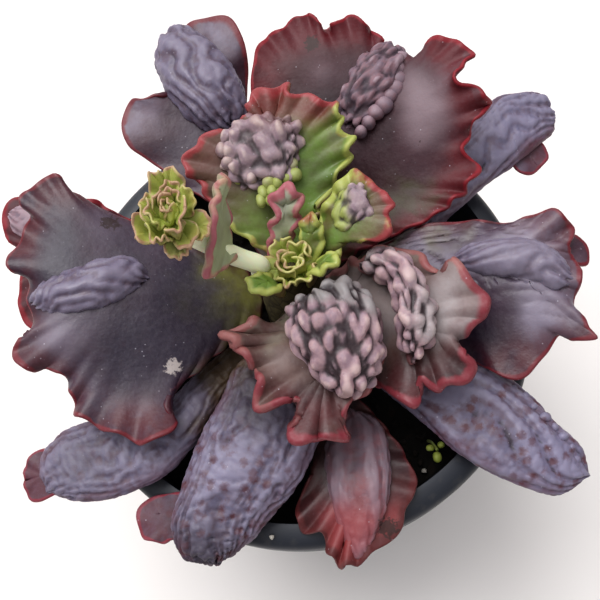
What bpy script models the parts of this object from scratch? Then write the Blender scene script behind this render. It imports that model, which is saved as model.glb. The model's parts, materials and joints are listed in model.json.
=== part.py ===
"""Potted echeveria: an old ruffled rosette with warty leaves in a round plastic nursery pot.

Frame: metres, +Z up, origin at the middle of the pot's base, the pot's axis on Z.
Lengths in the tables below are millimetres. Heights of leaves are above the pot's rim, and
x and y are from the pot's axis. Every leaf is a solid of its own that ends at the stem.
"""
import math

import bmesh
import bpy
import numpy as np
from mathutils import Matrix, Vector

MM = 0.001
SEAT = 0.35              # gap left between two pieces that touch

# Pot
RIM_RADIUS = 75.0
RIM_HEIGHT = 115.0       # the rim's outer edge above the floor
BASE_RADIUS = 53.0
WALL = 1.6
LIP_WIDTH = 7.0          # the rounded band that shows round the top
LIP_DROP = 4.0           # how far that band falls to its outer edge
SKIRT_DEPTH = 14.0       # the band's outer face, down to the plain wall
DRAIN_HOLES = 6
DRAIN_RADIUS = 4.5
DRAIN_CIRCLE = 36.0
FOOT_EDGE = 1.5          # chamfer round the base
LIP_EDGE = 0.6           # step inward under the band's outer face
LIP_TAPER = 0.3          # how far the inner face of the band leans inward
POT_SEGMENTS = 32
LIP_STEPS = 4
HOLE_SIDES = 12

# Soil
SOIL_LEVEL = -15.0       # at the wall, below the rim
SOIL_MOUND = 4.0         # higher at the stem
SOIL_SEGMENTS = 24
SOIL_RINGS = (0.8, 0.6, 0.4, 0.25)      # radii of the mound, as shares of its outer radius

# Stem: height above the rim and radius, from its foot in the soil to the growing point
STEM_PROFILE = [(-40, 7), (-30, 9.5), (-8, 10), (17, 10), (26, 8.2), (33, 5.6), (37, 3)]
STEM_SEGMENTS = 20

# Leaf tissue
MARGIN_THICK = 1.3
ROOT_FADE = 9.0          # length over which a leaf thins out from its root
MARGIN_SMOOTH = 9.0      # lobes shorter than this stay near the margin
SMALLEST_SHARE = 14      # and so do lobes shorter than the margin's length over this
MARGIN_SAMPLES = 400
TIP_AIM = 0.8            # the midrib's last part, from this fraction, points at the tip
LOBE_POWER = 3           # how fast a lobe dies away from the margin
MARGIN_STEP = 7.5        # spacing of the rays along the margin
LEAF_RAYS = 18           # and their least number
POINTS_A_WART = 2.35     # points across a wart or a wrinkle
FURROW_SLOPE = 2.2       # how steeply a wart falls to its furrow
WART_MIDDLE = 0.4        # height of a wart that neither swells nor sinks the body
SIDE_ROUND = 0.8         # power that squares a swelling's section a little
LEAST_AROUND = 10        # fewest points round a swelling
ROOT_THICK = 4.2         # most, and a root is this much thicker than its blade:
ROOT_SHARE = 1.3
ROOT_SEAT = 0.55         # gap between a root and the stem
SMOOTH_ROOT = 0.6        # part of the fading length next to a root that has no warts
CALM_END = 3.0           # warts die away over this length at the ends of a swelling
SLIVER = 0.03            # edges shorter than this are closed up after a union
RINGS = (0.0, 0.62, 1.0)

# Blades. root: azimuth in degrees, height, half width. thick: middle of the blade.
# margin: from one side of the root round the tip to the other side.
BLADES = {
    "leaf_back_left": {
        "root": (100, 20, 4.6), "thick": 3.6,
        "midrib": [(-5, 31, 19), (-10, 48, 22), (-15, 64, 26), (-17, 78, 28)],
        "margin": [(-15, 29, 19), (-27, 41, 21), (-38, 53, 24), (-44, 59, 25), (-45, 67, 27),
                   (-40, 74, 30), (-34, 73, 33), (-28, 74, 29), (-23, 86, 29), (-19, 96, 34),
                   (-12, 97, 37), (-5, 96, 37), (-2, 90, 34), (-1, 82, 28), (-3, 73, 24),
                   (-4, 62, 21), (-1, 43, 19)],
        "lump": "back_left",
    },
    "leaf_back": {
        "root": (58, 14, 4.5), "thick": 4.0,
        "midrib": [(18, 27, 18), (28, 37, 23), (36, 48, 28), (42, 57, 31)],
        "margin": [(3, 32, 20), (0, 53, 27), (-1, 68, 31), (1, 76, 34), (5, 83, 35),
                   (12, 86, 36), (18, 89, 36), (22, 88, 39), (27, 82, 35), (31, 83, 41),
                   (39, 80, 40), (43, 72, 33), (51, 63, 32), (56, 63, 36), (57, 67, 41),
                   (63, 64, 43), (68, 56, 43), (61, 49, 46), (70, 42, 40), (65, 38, 34),
                   (60, 31, 31), (62, 24, 32), (57, 18, 29), (45, 13, 26), (33, 11, 22)],
        "lump": "back",
    },
    "leaf_left": {
        "root": (176, 12, 5.0), "thick": 4.2,
        "midrib": [(-18, 4, 16), (-33, 5, 22), (-46, 5, 26), (-59, 4, 28)],
        "margin": [(-16, 15, 17), (-31, 25, 22), (-47, 31, 26), (-57, 37, 28), (-64, 43, 33),
                   (-66, 47, 39), (-72, 45, 37), (-78, 42, 34), (-76, 36, 30), (-79, 29, 31),
                   (-84, 20, 34), (-79, 17, 29), (-78, 8, 26), (-79, -3, 29), (-83, -5, 33),
                   (-81, -13, 30), (-73, -13, 25), (-70, -19, 22), (-69, -27, 21),
                   (-63, -31, 23), (-56, -36, 22), (-49, -39, 25), (-41, -37, 22),
                   (-42, -27, 19), (-36, -21, 17), (-22, -10, 14)],
        "lump": "left",
    },
    "leaf_right": {
        "root": (4, 8, 4.5), "thick": 4.0,
        "midrib": [(28, 2, 17), (42, -3, 22), (55, -8, 26), (67, -14, 27)],
        "margin": [(27, 11, 14), (39, 12, 18), (51, 11, 23), (62, 7, 27), (70, 4, 29),
                   (77, 5, 33), (81, 3, 35), (84, -2, 31), (82, -6, 28), (82, -13, 28),
                   (82, -19, 30), (79, -22, 26), (78, -28, 27), (81, -35, 31), (76, -34, 26),
                   (73, -31, 22), (67, -36, 23), (61, -40, 23), (55, -39, 20), (47, -31, 16),
                   (33, -18, 13)],
        "lump": "right",
    },
    "leaf_low_left": {
        "root": (160, 3, 4.5), "thick": 3.4,
        "midrib": [(-24, 8, 8), (-41, 15, 11), (-57, 22, 14), (-73, 28, 15)],
        "margin": [(-23, 18, 8), (-37, 32, 12), (-53, 41, 15), (-59, 46, 18), (-64, 47, 19),
                   (-73, 48, 17), (-80, 51, 18), (-86, 52, 19), (-90, 48, 18), (-90, 40, 16),
                   (-87, 35, 14), (-86, 26, 14), (-87, 20, 15), (-87, 12, 15), (-83, 6, 13),
                   (-76, 2, 10), (-61, -1, 8), (-39, -2, 5), (-21, -1, 4)],
        "lump": "low_left",
    },
    "leaf_front": {
        "root": (-82, -5, 4.0), "thick": 3.0, "look": "red",
        "midrib": [(4, -26, 0), (6, -42, 4), (7, -57, 7), (6, -69, 8)],
        "margin": [(-2, -26, 0), (-3, -38, 3), (-3, -48, 6), (-8, -57, 7), (-11, -64, 6),
                   (-11, -69, 5), (-5, -71, 5), (-4, -77, 6), (-1, -81, 5), (3, -81, 7),
                   (8, -79, 6), (13, -77, 8), (18, -73, 7), (20, -68, 8), (24, -64, 9),
                   (24, -56, 7), (20, -45, 5), (12, -29, 1)],
        "lump": "front",
    },
    "leaf_upper_back": {
        "root": (82, 27, 4.2), "thick": 3.2, "look": "green",
        "midrib": [(1, 16, 30), (1, 25, 35), (1, 34, 40), (2, 43, 43)],
        "margin": [(-9, 13, 31), (-17, 21, 36), (-21, 30, 41), (-25, 35, 46), (-20, 41, 47),
                   (-14, 44, 46), (-11, 43, 43), (-4, 47, 44), (-2, 52, 48), (3, 54, 48),
                   (9, 54, 47), (12, 50, 50), (15, 47, 49), (19, 47, 47), (23, 43, 48),
                   (23, 38, 44), (25, 33, 46), (23, 29, 42), (18, 24, 38), (10, 16, 33)],
        "lump": "upper_back",
    },
    "leaf_low_centre": {
        "root": (-76, 25, 3.6), "thick": 3.2,
        "midrib": [(4, -15, 28), (5, -21, 31), (5, -24, 32), (5, -31, 31)],
        "margin": [(-6, -14, 28), (-12, -15, 34), (-16, -14, 38), (-21, -20, 40),
                   (-17, -21, 36), (-18, -25, 36), (-12, -28, 34), (-16, -34, 35),
                   (-13, -38, 34), (-6, -38, 31), (-4, -41, 32), (-8, -46, 34), (-5, -50, 33),
                   (0, -48, 30), (3, -51, 32), (7, -49, 31), (5, -44, 29), (11, -39, 27),
                   (18, -33, 27), (20, -24, 28), (17, -12, 28)],
        "lump": "low_centre",
    },
    "leaf_low_right": {
        "root": (-14, 19, 4.0), "thick": 3.2,
        "midrib": [(18, -5, 21), (26, -13, 25), (33, -20, 28), (38, -25, 29)],
        "margin": [(20, 3, 26), (32, 3, 29), (39, -5, 33), (43, -10, 35), (45, -8, 39),
                   (49, -13, 39), (51, -18, 38), (52, -24, 35), (45, -26, 31), (41, -29, 30),
                   (44, -34, 33), (45, -38, 31), (37, -41, 29), (31, -38, 26), (29, -41, 27),
                   (27, -44, 26), (22, -39, 21), (18, -30, 17), (15, -17, 16)],
        "lump": "low_right",
    },
    "leaf_heart_right": {
        "root": (25, 30, 3.0), "thick": 2.4, "look": "green",
        "midrib": [(12, 6, 36), (16, 10, 39), (21, 14, 41)],
        "margin": [(10, 9, 36), (14, 16, 39), (19, 21, 43), (24, 22, 47), (28, 17, 45),
                   (32, 10, 46), (30, 7, 43), (30, 2, 45), (26, 1, 41), (20, 4, 39),
                   (15, 6, 38), (15, 1, 36), (13, -1, 34)],
        "lump": "heart_right",
    },
    "leaf_heart_back": {
        "root": (112, 33, 2.2), "thick": 2.2, "look": "green",
        "midrib": [(-1, 9, 38), (0, 12, 42), (2, 16, 45)],
        "margin": [(-4, 8, 37), (-2, 12, 42), (-1, 15, 46), (1, 19, 49), (6, 18, 49),
                   (6, 14, 44), (3, 10, 39)],
    },
    "leaf_heart_front": {
        "root": (10, 36, 1.6), "thick": 2.0, "look": "green",
        "midrib": [(7, 3, 38), (8, 7, 42)],
        "margin": [(5, 5, 38), (6, 10, 42), (9, 11, 45), (11, 8, 42), (10, 3, 38)],
    },
    "leaf_heart_low": {
        "root": (-32, 33, 1.8), "thick": 2.0, "look": "green",
        "midrib": [(7, -3, 37), (9, -4, 41)],
        "margin": [(5, -4, 38), (7, -6, 42), (11, -6, 45), (14, -3, 44), (12, 0, 40), (9, 0, 37)],
    },
    "leaf_heart_left": {
        "root": (-130, 33, 1.8), "thick": 2.0, "look": "green",
        "midrib": [(-5, -5, 37), (-7, -6, 41)],
        "margin": [(-6, -2, 38), (-9, -3, 42), (-12, -5, 44), (-10, -9, 44), (-5, -9, 42),
                   (-3, -6, 38)],
    },
}

# Ends of blades that show past a swelling or a margin and are fused to their leaf
TIPS = {
    "leaf_front_left": {
        "margin": [(-41, -53, 10), (-48, -52, 6), (-54, -52, 4), (-58, -55, 4), (-57, -62, 4),
                   (-51, -65, 6), (-43, -64, 9)],
        "midrib": [(-40, -58, 10), (-46, -58, 7), (-51, -57, 5)],
    },
    "leaf_left_front": {
        "margin": [(-80, -34, 8), (-85, -31, 6), (-90, -33, 5), (-92, -38, 4), (-91, -44, 4),
                   (-87, -46, 5), (-81, -45, 7)],
        "midrib": [(-78, -39, 8), (-83, -39, 6), (-87, -39, 5)],
    },
    "leaf_right_back": {
        "margin": [(86, 43, 12), (91, 40, 10), (92, 35, 9), (87, 31, 8), (82, 31, 9), (79, 36, 11)],
        "midrib": [(82, 41, 12), (85, 38, 10), (87, 35, 9)],
    },
    "leaf_right": {
        "margin": [(79, -3, 28), (85, -2, 25), (88, -5, 25), (88, -9, 24), (86, -12, 25),
                   (80, -11, 28)],
        "midrib": [(77, -7, 28), (82, -7, 26), (85, -7, 25)],
    },
}
TIP_THICK = 2.0

# Warty swellings that stand on a blade: both sides of the outline, both from the same end
# to the other, how far the swelling rises and is sunk, and the length and width of a wart.
LUMPS = {
    "back_left": {
        "left": [(-24, 97, 31), (-29, 92, 31), (-31, 86, 30), (-29, 76, 29), (-26, 68, 28),
                 (-21, 61, 27), (-14, 57, 26), (-9, 57, 26)],
        "right": [(-24, 97, 31), (-18, 95, 32), (-13, 89, 32), (-8, 82, 31), (-5, 74, 30),
                  (-4, 67, 29), (-5, 61, 27), (-9, 57, 26)],
        "rise": 9.0, "sunk": 4.0, "wart": (16, 9), "wart_rise": 3.6,
    },
    "back": {
        "left": [(47, 71, 33), (40, 71, 34), (33, 67, 33), (28, 61, 32), (25, 55, 30),
                 (26, 48, 29)],
        "right": [(47, 71, 33), (50, 66, 33), (48, 60, 32), (44, 54, 31), (37, 49, 30),
                  (31, 45, 29), (26, 48, 29)],
        "rise": 8.0, "sunk": 4.0, "wart": (9, 7.5), "wart_rise": 3.4,
    },
    "left": {
        "left": [(-78, 8, 28), (-72, 14, 28), (-64, 15, 29), (-56, 17, 28), (-47, 16, 27),
                 (-42, 10, 25)],
        "right": [(-78, 8, 28), (-74, 4, 28), (-67, 2, 28), (-58, 2, 28), (-50, 4, 27),
                  (-42, 10, 25)],
        "rise": 7.0, "sunk": 4.0, "wart": (26, 8), "wart_rise": 2.8,
    },
    "right": {
        "left": [(48, -3, 24), (54, 0, 26), (63, -1, 28), (71, -3, 29), (77, -9, 29),
                 (80, -18, 28)],
        "right": [(48, -3, 24), (52, -8, 25), (60, -12, 27), (68, -15, 27), (74, -19, 27),
                  (80, -18, 28)],
        "rise": 6.0, "sunk": 3.0, "wart": (26, 8), "wart_rise": 2.6,
    },
    "low_left": {
        "left": [(-88, 47, 17), (-80, 49, 18), (-73, 45, 17), (-62, 37, 15)],
        "right": [(-88, 47, 17), (-87, 40, 16), (-80, 34, 15), (-71, 31, 15), (-62, 37, 15)],
        "rise": 5.0, "sunk": 2.5, "wart": (14, 8), "wart_rise": 2.2,
    },
    "front": {
        "left": [(10, -36, 4), (1, -46, 6), (-1, -58, 7), (0, -70, 6), (2, -78, 6), (6, -80, 6)],
        "right": [(10, -36, 4), (18, -42, 5), (19, -52, 8), (17, -62, 9), (12, -72, 8),
                  (6, -80, 6)],
        "rise": 4.5, "sunk": 2.0, "wart": (26, 8), "wart_rise": 2.2,
    },
    "upper_back": {
        "left": [(-14, 35, 41), (-14, 40, 43), (-9, 45, 45), (-2, 47, 46), (6, 44, 47),
                 (11, 40, 46)],
        "right": [(-14, 35, 41), (-10, 27, 40), (-3, 25, 39), (4, 25, 41), (9, 32, 43),
                  (11, 40, 46)],
        "rise": 5.0, "sunk": 4.0, "wart": (7, 7), "wart_rise": 3.2,
    },
    "low_centre": {
        "left": [(5, -10, 33), (0, -11, 34), (-3, -15, 35), (-3, -23, 35), (1, -32, 33),
                 (5, -38, 32), (10, -40, 31)],
        "right": [(5, -10, 33), (11, -8, 33), (17, -7, 33), (21, -12, 33), (23, -19, 33),
                  (22, -27, 32), (20, -33, 31), (16, -38, 31), (10, -40, 31)],
        "rise": 11.0, "sunk": 7.0, "wart": (8, 7.5), "wart_rise": 3.8,
    },
    "low_right": {
        "left": [(20, -1, 31), (24, -6, 33), (27, -13, 34), (27, -20, 34), (26, -27, 33),
                 (29, -34, 31)],
        "right": [(20, -1, 31), (28, 1, 33), (34, -4, 35), (37, -12, 35), (38, -20, 34),
                  (36, -28, 33), (29, -34, 31)],
        "rise": 8.0, "sunk": 7.0, "wart": (8, 7), "wart_rise": 2.8,
    },
    "heart_right": {
        "left": [(15, 7, 38), (16, 14, 41), (21, 18, 44), (25, 17, 45)],
        "right": [(15, 7, 38), (21, 6, 40), (27, 9, 43), (25, 17, 45)],
        "rise": 3.5, "sunk": 2.5, "wart": (6.5, 6), "wart_rise": 2.2,
    },
}

# Tongue leaves, thick and wrinkled all over: root as above, both sides of the outline from
# the root outward, half the thickness above and below, and the length and width of a wrinkle.
TONGUES = {
    "leaf_front_right": {
        "root": (-42, 3, 4.2),
        "left": [(21, -9, 5), (37, -20, 8), (50, -28, 10), (58, -37, 11), (64, -46, 11),
                 (69, -55, 10), (74, -62, 8), (74, -69, 6)],
        "right": [(14, -22, 5), (23, -35, 7), (31, -46, 9), (37, -55, 10), (44, -62, 10),
                  (54, -69, 9), (64, -73, 7), (74, -69, 6)],
        "rise": 5.0, "sunk": 3.5, "wart": (22, 8), "wart_rise": 2.2,
    },
    "leaf_front_left": {
        "root": (-112, 5, 4.2),
        "left": [(-1, -22, 9), (1, -33, 12), (0, -43, 14), (-5, -52, 14), (-10, -58, 13),
                 (-17, -63, 11), (-26, -70, 9), (-36, -74, 7)],
        "right": [(-16, -14, 9), (-23, -20, 12), (-28, -29, 14), (-34, -37, 15),
                  (-39, -45, 14), (-43, -53, 13), (-47, -62, 11), (-45, -71, 8), (-36, -74, 7)],
        "rise": 5.5, "sunk": 4.0, "wart": (22, 8), "wart_rise": 2.4,
    },
    "leaf_left_front": {
        "root": (-148, -4, 4.0),
        "left": [(-14, -14, 0), (-23, -22, 4), (-32, -32, 7), (-39, -40, 9), (-48, -47, 10),
                 (-62, -50, 9), (-75, -49, 8), (-84, -44, 6)],
        "right": [(-22, -7, 1), (-34, -16, 6), (-46, -25, 9), (-58, -27, 10), (-69, -26, 9),
                  (-79, -28, 8), (-86, -35, 7), (-84, -44, 6)],
        "rise": 4.0, "sunk": 3.0, "wart": (22, 8), "wart_rise": 2.0,
    },
    "leaf_right_back": {
        "root": (33, 2, 4.2),
        "left": [(17, 14, 5), (33, 23, 9), (50, 33, 12), (62, 43, 15), (71, 50, 16),
                 (79, 56, 17), (88, 57, 16), (95, 55, 15), (97, 49, 13)],
        "right": [(25, 5, 5), (40, 12, 8), (54, 19, 10), (67, 27, 11), (78, 32, 12),
                  (90, 39, 12), (96, 43, 12), (97, 49, 13)],
        "rise": 4.5, "sunk": 3.5, "wart": (18, 8), "wart_rise": 2.2,
    },
}

# Flower stalk: a pale tube with one clasping bract and a leafy head that is still closed
STALK_ROUTE = [(-11, 3, 39), (-16, 3, 47), (-21, 2, 58), (-24, 2, 66), (-25, 2, 72)]
STALK_RADIUS = 2.4
STALK_ROOT = (163, 32, STALK_RADIUS)
HEAD_CENTRE = (-25, 2, 74)
HEAD_CORE = 4.5
CORE_OUTLINE = [(0, -1), (0.8, -0.6), (1, 0), (0.8, 0.6), (0, 1)]     # shares of that radius
STALK_SIDES = 8
STALK_RINGS = 9
CORE_SIDES = 12
BRACT_THICK = 1.3
BRACT_RAYS = 8
CLASPING_RAYS = 12
BRACT_RINGS = (0.0, 0.6, 1.0)
BRACT_MARGIN = [(0.2, -0.12, 0), (0.6, -0.34, 0), (0.88, -0.28, 0.16), (1, 0, 0.04),
                (0.88, 0.28, 0.16), (0.6, 0.34, 0), (0.2, 0.12, 0)]
BRACT_MIDRIB = [(0.2, 0, 0), (0.5, 0, -0.12), (0.7, 0, -0.1)]
# Whorls of the head: number of bracts, their length, rise and first azimuth in degrees
BRACT_WHORLS = [(5, 13.0, 10, 0), (4, 11.0, 48, 36), (2, 9.0, 80, 20)]
CLASPING_BRACT = {
    "thick": 1.6,
    "midrib": [(-16, 3, 47), (-17, 4, 54), (-17, 5, 60)],
    "margin": [(-14, 1, 46), (-18, -4, 52), (-20, -7, 60), (-17, -1, 66), (-16, 6, 67),
               (-14, 14, 67), (-11, 18, 64), (-12, 12, 57), (-15, 5, 46)],
}


def curve_through(points):
    """Smooth curve through points: returns a function of the fraction of its length."""
    p = np.array(points, float)
    p = np.vstack([2 * p[0] - p[1], p, 2 * p[-1] - p[-2]])
    t = np.linspace(0, 1, 24, endpoint=False)[:, None]
    pieces = []
    for a, b, c, d in zip(p, p[1:], p[2:], p[3:]):
        pieces.append(b + 0.5 * ((c - a) * t + (2 * a - 5 * b + 4 * c - d) * t ** 2
                                 + (3 * b - a - 3 * c + d) * t ** 3))
    fine = np.vstack(pieces + [p[-2]])
    run = np.r_[0, np.cumsum(np.linalg.norm(np.diff(fine, axis=0), axis=1))]

    def at(fraction):
        where = np.asarray(fraction) * run[-1]
        return np.stack([np.interp(where, run, fine[:, k]) for k in range(3)], axis=-1)

    at.length = run[-1]
    return at


def stem_radius(height):
    heights, radii = zip(*STEM_PROFILE)
    return float(np.interp(height, heights, radii))


def root_points(root, half_thick, toward=None):
    """Middle, left and right of a root that sits against the stem.

    A root that rises towards its next point is tilted, so its upper edge leans on the stem.
    """
    azimuth, height, half_wide = root
    angle = math.radians(azimuth)
    out = np.array([math.cos(angle), math.sin(angle), 0])
    side = np.array([-math.sin(angle), math.cos(angle), 0])
    up = np.array([0, 0, 1])
    slope = 0.0
    if toward is not None:
        way = np.array(toward) - (out * stem_radius(height) + up * height)
        slope = way[2] / np.linalg.norm(way)
    level = math.sqrt(1 - slope ** 2)
    reach = max(stem_radius(height + edge * half_thick * level) + edge * half_thick * slope
                for edge in (-1, 0, 1))
    middle = out * (reach + ROOT_SEAT) + up * height
    return middle, middle + side * half_wide, middle - side * half_wide


def nearer_first(margin, one, other):
    """Root sides in the order in which the margin passes them."""
    start = np.array(margin[0])
    if np.linalg.norm(start - one) < np.linalg.norm(start - other):
        return one, other
    return other, one


def smoothed(points, step, width):
    """Points of an open line averaged over a bell of this width; the ends stay."""
    reach = int(3 * width / step)
    bell = np.exp(-0.5 * (np.arange(-reach, reach + 1) * step / width) ** 2)
    bell /= bell.sum()
    padded = np.pad(points, ((reach, reach), (0, 0)), mode="reflect", reflect_type="odd")
    return np.stack([np.convolve(padded[:, k], bell, "valid") for k in range(3)], axis=-1)


def sheet(margin, midrib, least_rays, rings):
    """Middle surface of a blade: rays from the midrib to the margin, with a fan at its end.

    Returns points, triangles, the border loop and each point's way out to the margin.
    """
    edge = curve_through(margin)
    spine = curve_through(midrib)
    count = MARGIN_SAMPLES
    fine = edge(np.linspace(0, 1, count + 1))
    calm = smoothed(fine, edge.length / count,
                    min(MARGIN_SMOOTH, edge.length / SMALLEST_SHARE))
    step = min(MARGIN_STEP, edge.length / least_rays)
    end = spine(1.0)
    ahead = (calm - end) @ (end - spine(TIP_AIM))
    tip = int(np.argmax(ahead))
    away = np.linalg.norm(calm - end, axis=1)
    first = np.argmin(away[:tip]) / count
    last = (tip + np.argmin(away[tip:])) / count
    side = max(2, round(max(first, 1 - last) * edge.length / step))
    fan = max(2, round((last - first) * edge.length / step))
    along = np.r_[np.linspace(0, first, side + 1)[:-1], np.linspace(first, last, fan + 1),
                  np.linspace(last, 1, side + 1)[1:]]
    rays = len(along)
    foot = np.minimum(np.minimum(np.arange(rays), side), rays - 1 - np.arange(rays))

    def sample(line):
        return np.stack([np.interp(along * count, np.arange(count + 1), line[:, k])
                         for k in range(3)], axis=-1)

    feet = spine(np.linspace(0, 1, side + 1))
    points = [feet]
    out = [np.zeros(side + 1)]
    for w in rings[1:]:
        base = feet[foot]
        points.append(base + (sample(calm) - base) * w
                      + (sample(fine) - sample(calm)) * w ** LOBE_POWER)
        out.append(np.full(rays, w))
    index = [foot] + [side + 1 + k * rays + np.arange(rays) for k in range(len(rings) - 1)]
    triangles = []
    for i in range(rays - 1):
        for inner, outer in zip(index, index[1:]):
            a, b, c, d = inner[i], outer[i], outer[i + 1], inner[i + 1]
            triangles.append((a, b, c))
            if a != d:
                triangles.append((a, c, d))
    border = list(index[-1]) + [ring[-1] for ring in index[-2::-1]] + \
        [ring[0] for ring in index[1:-1]]
    return np.vstack(points), np.array(triangles), border, np.concatenate(out)


def point_normals(points, triangles):
    across = np.cross(points[triangles[:, 1]] - points[triangles[:, 0]],
                      points[triangles[:, 2]] - points[triangles[:, 0]])
    normals = np.zeros_like(points)
    for k in range(3):
        np.add.at(normals, triangles[:, k], across)
    return normals / np.linalg.norm(normals, axis=1)[:, None]


def blade(name, margin, midrib, thicks, least_rays, rings=RINGS):
    """Closed solid of a blade, split into triangles alike on both faces."""
    thick, root_thick = thicks
    points, triangles, border, out = sheet(margin, midrib, least_rays, rings)
    normals = point_normals(points, triangles)
    fade = np.exp(-np.linalg.norm(points - np.array(midrib[0]), axis=1) / ROOT_FADE)
    half = 0.5 * (MARGIN_THICK + (thick - MARGIN_THICK) * (1 - out ** 2)
                  + (root_thick - thick) * fade)
    offset = normals * half[:, None]
    count = len(points)
    faces = [tuple(t) for t in triangles] + [tuple(t[::-1] + count) for t in triangles]
    for a, b in zip(border, border[1:] + border[:1]):
        faces.append((a, b, b + count))
        faces.append((a, b + count, a + count))
    return solid(name, np.vstack([points + offset, points - offset]), faces)


def warts(points, axis, size, seed):
    """Height, 0 in the furrows to 1 on the crests, of warts that lie along an axis."""
    length, width = size
    axis = axis / np.linalg.norm(axis)
    side = np.cross((0, 0, 1), axis)
    side /= np.linalg.norm(side)
    frame = np.stack([axis / length, side / width, np.cross(axis, side) / width], axis=1)
    local = points @ frame
    cell = np.floor(local).astype(int)
    table = np.random.RandomState(seed).rand(32, 32, 32, 3)
    gaps = []
    for step in np.ndindex(3, 3, 3):
        corner = cell + np.array(step) - 1
        spot = corner + table[tuple((corner % 32).T)]
        gaps.append(np.linalg.norm(local - spot, axis=1))
    gaps = np.sort(np.array(gaps), axis=0)
    return np.clip(FURROW_SLOPE * (gaps[1] - gaps[0]), 0, 1)


def swelling(name, shape, seed, root=None):
    """Closed warty body between two side lines; a tongue leaf also has a root."""
    left, right = list(shape["left"]), list(shape["right"])
    if root is not None:
        middle, one, other = root_points(root, shape["rise"])
        one, other = nearer_first(left, one, other)
        left.insert(0, one)
        right.insert(0, other)
    first, second = curve_through(left), curve_through(right)
    step = min(shape["wart"]) / POINTS_A_WART
    along = round(first.length / step)
    turn = np.linspace(0, 1, along + 1)
    if root is None:
        u = 0.5 - 0.5 * np.cos(np.pi * turn)
        ends = np.sqrt(1 - (2 * u - 1) ** 2)
    else:
        u = turn * (1.5 - 0.5 * turn)
        ends = np.sqrt(1 - u ** 4)
    centre, half = (first(u) + second(u)) / 2, (second(u) - first(u)) / 2
    wide = np.linalg.norm(half, axis=1).max()
    around = max(LEAST_AROUND, round(math.pi * (wide + shape["rise"]) / step))
    phi = 2 * np.pi * np.arange(around) / around
    lift = np.where(np.sin(phi) > 0, shape["rise"], shape["sunk"]) * np.sin(phi)
    spread = np.sign(np.cos(phi)) * np.abs(np.cos(phi)) ** SIDE_ROUND
    body = centre[:, None] + half[:, None] * spread[None, :, None]
    body[:, :, 2] += lift[None, :] * ends[:, None]
    # A ring that has closed to a point is left out, and a fan ends the body there
    body = body[1:-1] if root is None else body[:-1]
    rings = np.arange(body.shape[0] * around).reshape(-1, around)
    points = np.vstack([body.reshape(-1, 3), centre[0], centre[-1]])
    start, finish = len(points) - 2, len(points) - 1
    faces = []
    for k in range(around):
        n = (k + 1) % around
        faces.append((start, rings[0][n], rings[0][k]))
        faces.append((finish, rings[-1][k], rings[-1][n]))
        for low, high in zip(rings, rings[1:]):
            faces.append((low[k], low[n], high[n]))
            faces.append((low[k], high[n], high[k]))
    normals = point_normals(points, np.array(faces))
    if ((points - points.mean(axis=0)) * normals).sum() < 0:
        normals = -normals
    height = warts(points, centre[-1] - centre[0], shape["wart"], seed) - WART_MIDDLE
    relief = shape["wart_rise"] * height
    if root is not None:
        near = np.linalg.norm(points - centre[0], axis=1) / ROOT_FADE
        relief *= np.clip(near - SMOOTH_ROOT, 0, 1)
    for end in (centre[0], centre[-1]):
        relief *= np.clip(np.linalg.norm(points - end, axis=1) / CALM_END, 0, 1)
    return solid(name, points + normals * relief[:, None], faces)


def solid(name, points, faces):
    """Object with a closed mesh, from points in millimetres above the rim."""
    mesh = bpy.data.meshes.new(name)
    bm = bmesh.new()
    verts = [bm.verts.new((p[0] * MM, p[1] * MM, (p[2] + RIM_HEIGHT) * MM)) for p in points]
    for face in faces:
        bm.faces.new([verts[k] for k in face])
    bmesh.ops.recalc_face_normals(bm, faces=bm.faces)
    bm.to_mesh(mesh)
    bm.free()
    piece = bpy.data.objects.new(name, mesh)
    bpy.context.collection.objects.link(piece)
    return piece


def keep_main_body(mesh):
    """Fill hollows that fusing has sealed and drop scraps: only the largest shell stays."""
    bm = bmesh.new()
    bm.from_mesh(mesh)
    left = set(bm.verts)
    shells = []
    while left:
        front = [left.pop()]
        shell = set(front)
        while front:
            for edge in front.pop().link_edges:
                for vert in edge.verts:
                    if vert in left:
                        left.remove(vert)
                        shell.add(vert)
                        front.append(vert)
        shells.append(shell)
    main = max(shells, key=len)
    loose = [vert for vert in bm.verts if vert not in main]
    bmesh.ops.delete(bm, geom=loose, context="VERTS")
    bm.to_mesh(mesh)
    bm.free()


def close_slivers(mesh):
    """Close up a union's shortest edges, where the mesh stays one closed body."""
    bm = bmesh.new()
    bm.from_mesh(mesh)
    bmesh.ops.dissolve_degenerate(bm, dist=SLIVER * MM, edges=bm.edges)
    bmesh.ops.triangulate(bm, faces=bm.faces)
    whole = all(edge.is_manifold for edge in bm.edges) and all(v.is_manifold for v in bm.verts)
    if whole:
        bm.to_mesh(mesh)
    bm.free()


def joined(piece, others, operation="UNION", solver="MANIFOLD"):
    """Boolean of a piece and a few others, applied; the others are removed."""
    group = bpy.data.collections.new("operands")
    bpy.context.scene.collection.children.link(group)
    for other in others:
        group.objects.link(other)
    boolean = piece.modifiers.new("boolean", "BOOLEAN")
    boolean.operation = operation
    boolean.operand_type = "COLLECTION"
    boolean.collection = group
    boolean.solver = solver
    bpy.context.view_layer.update()
    evaluated = piece.evaluated_get(bpy.context.evaluated_depsgraph_get())
    mesh = bpy.data.meshes.new_from_object(evaluated)
    keep_main_body(mesh)
    close_slivers(mesh)
    piece.modifiers.clear()
    piece.data = mesh
    for other in others:
        bpy.data.objects.remove(other)
    bpy.data.collections.remove(group)
    return piece


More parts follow.
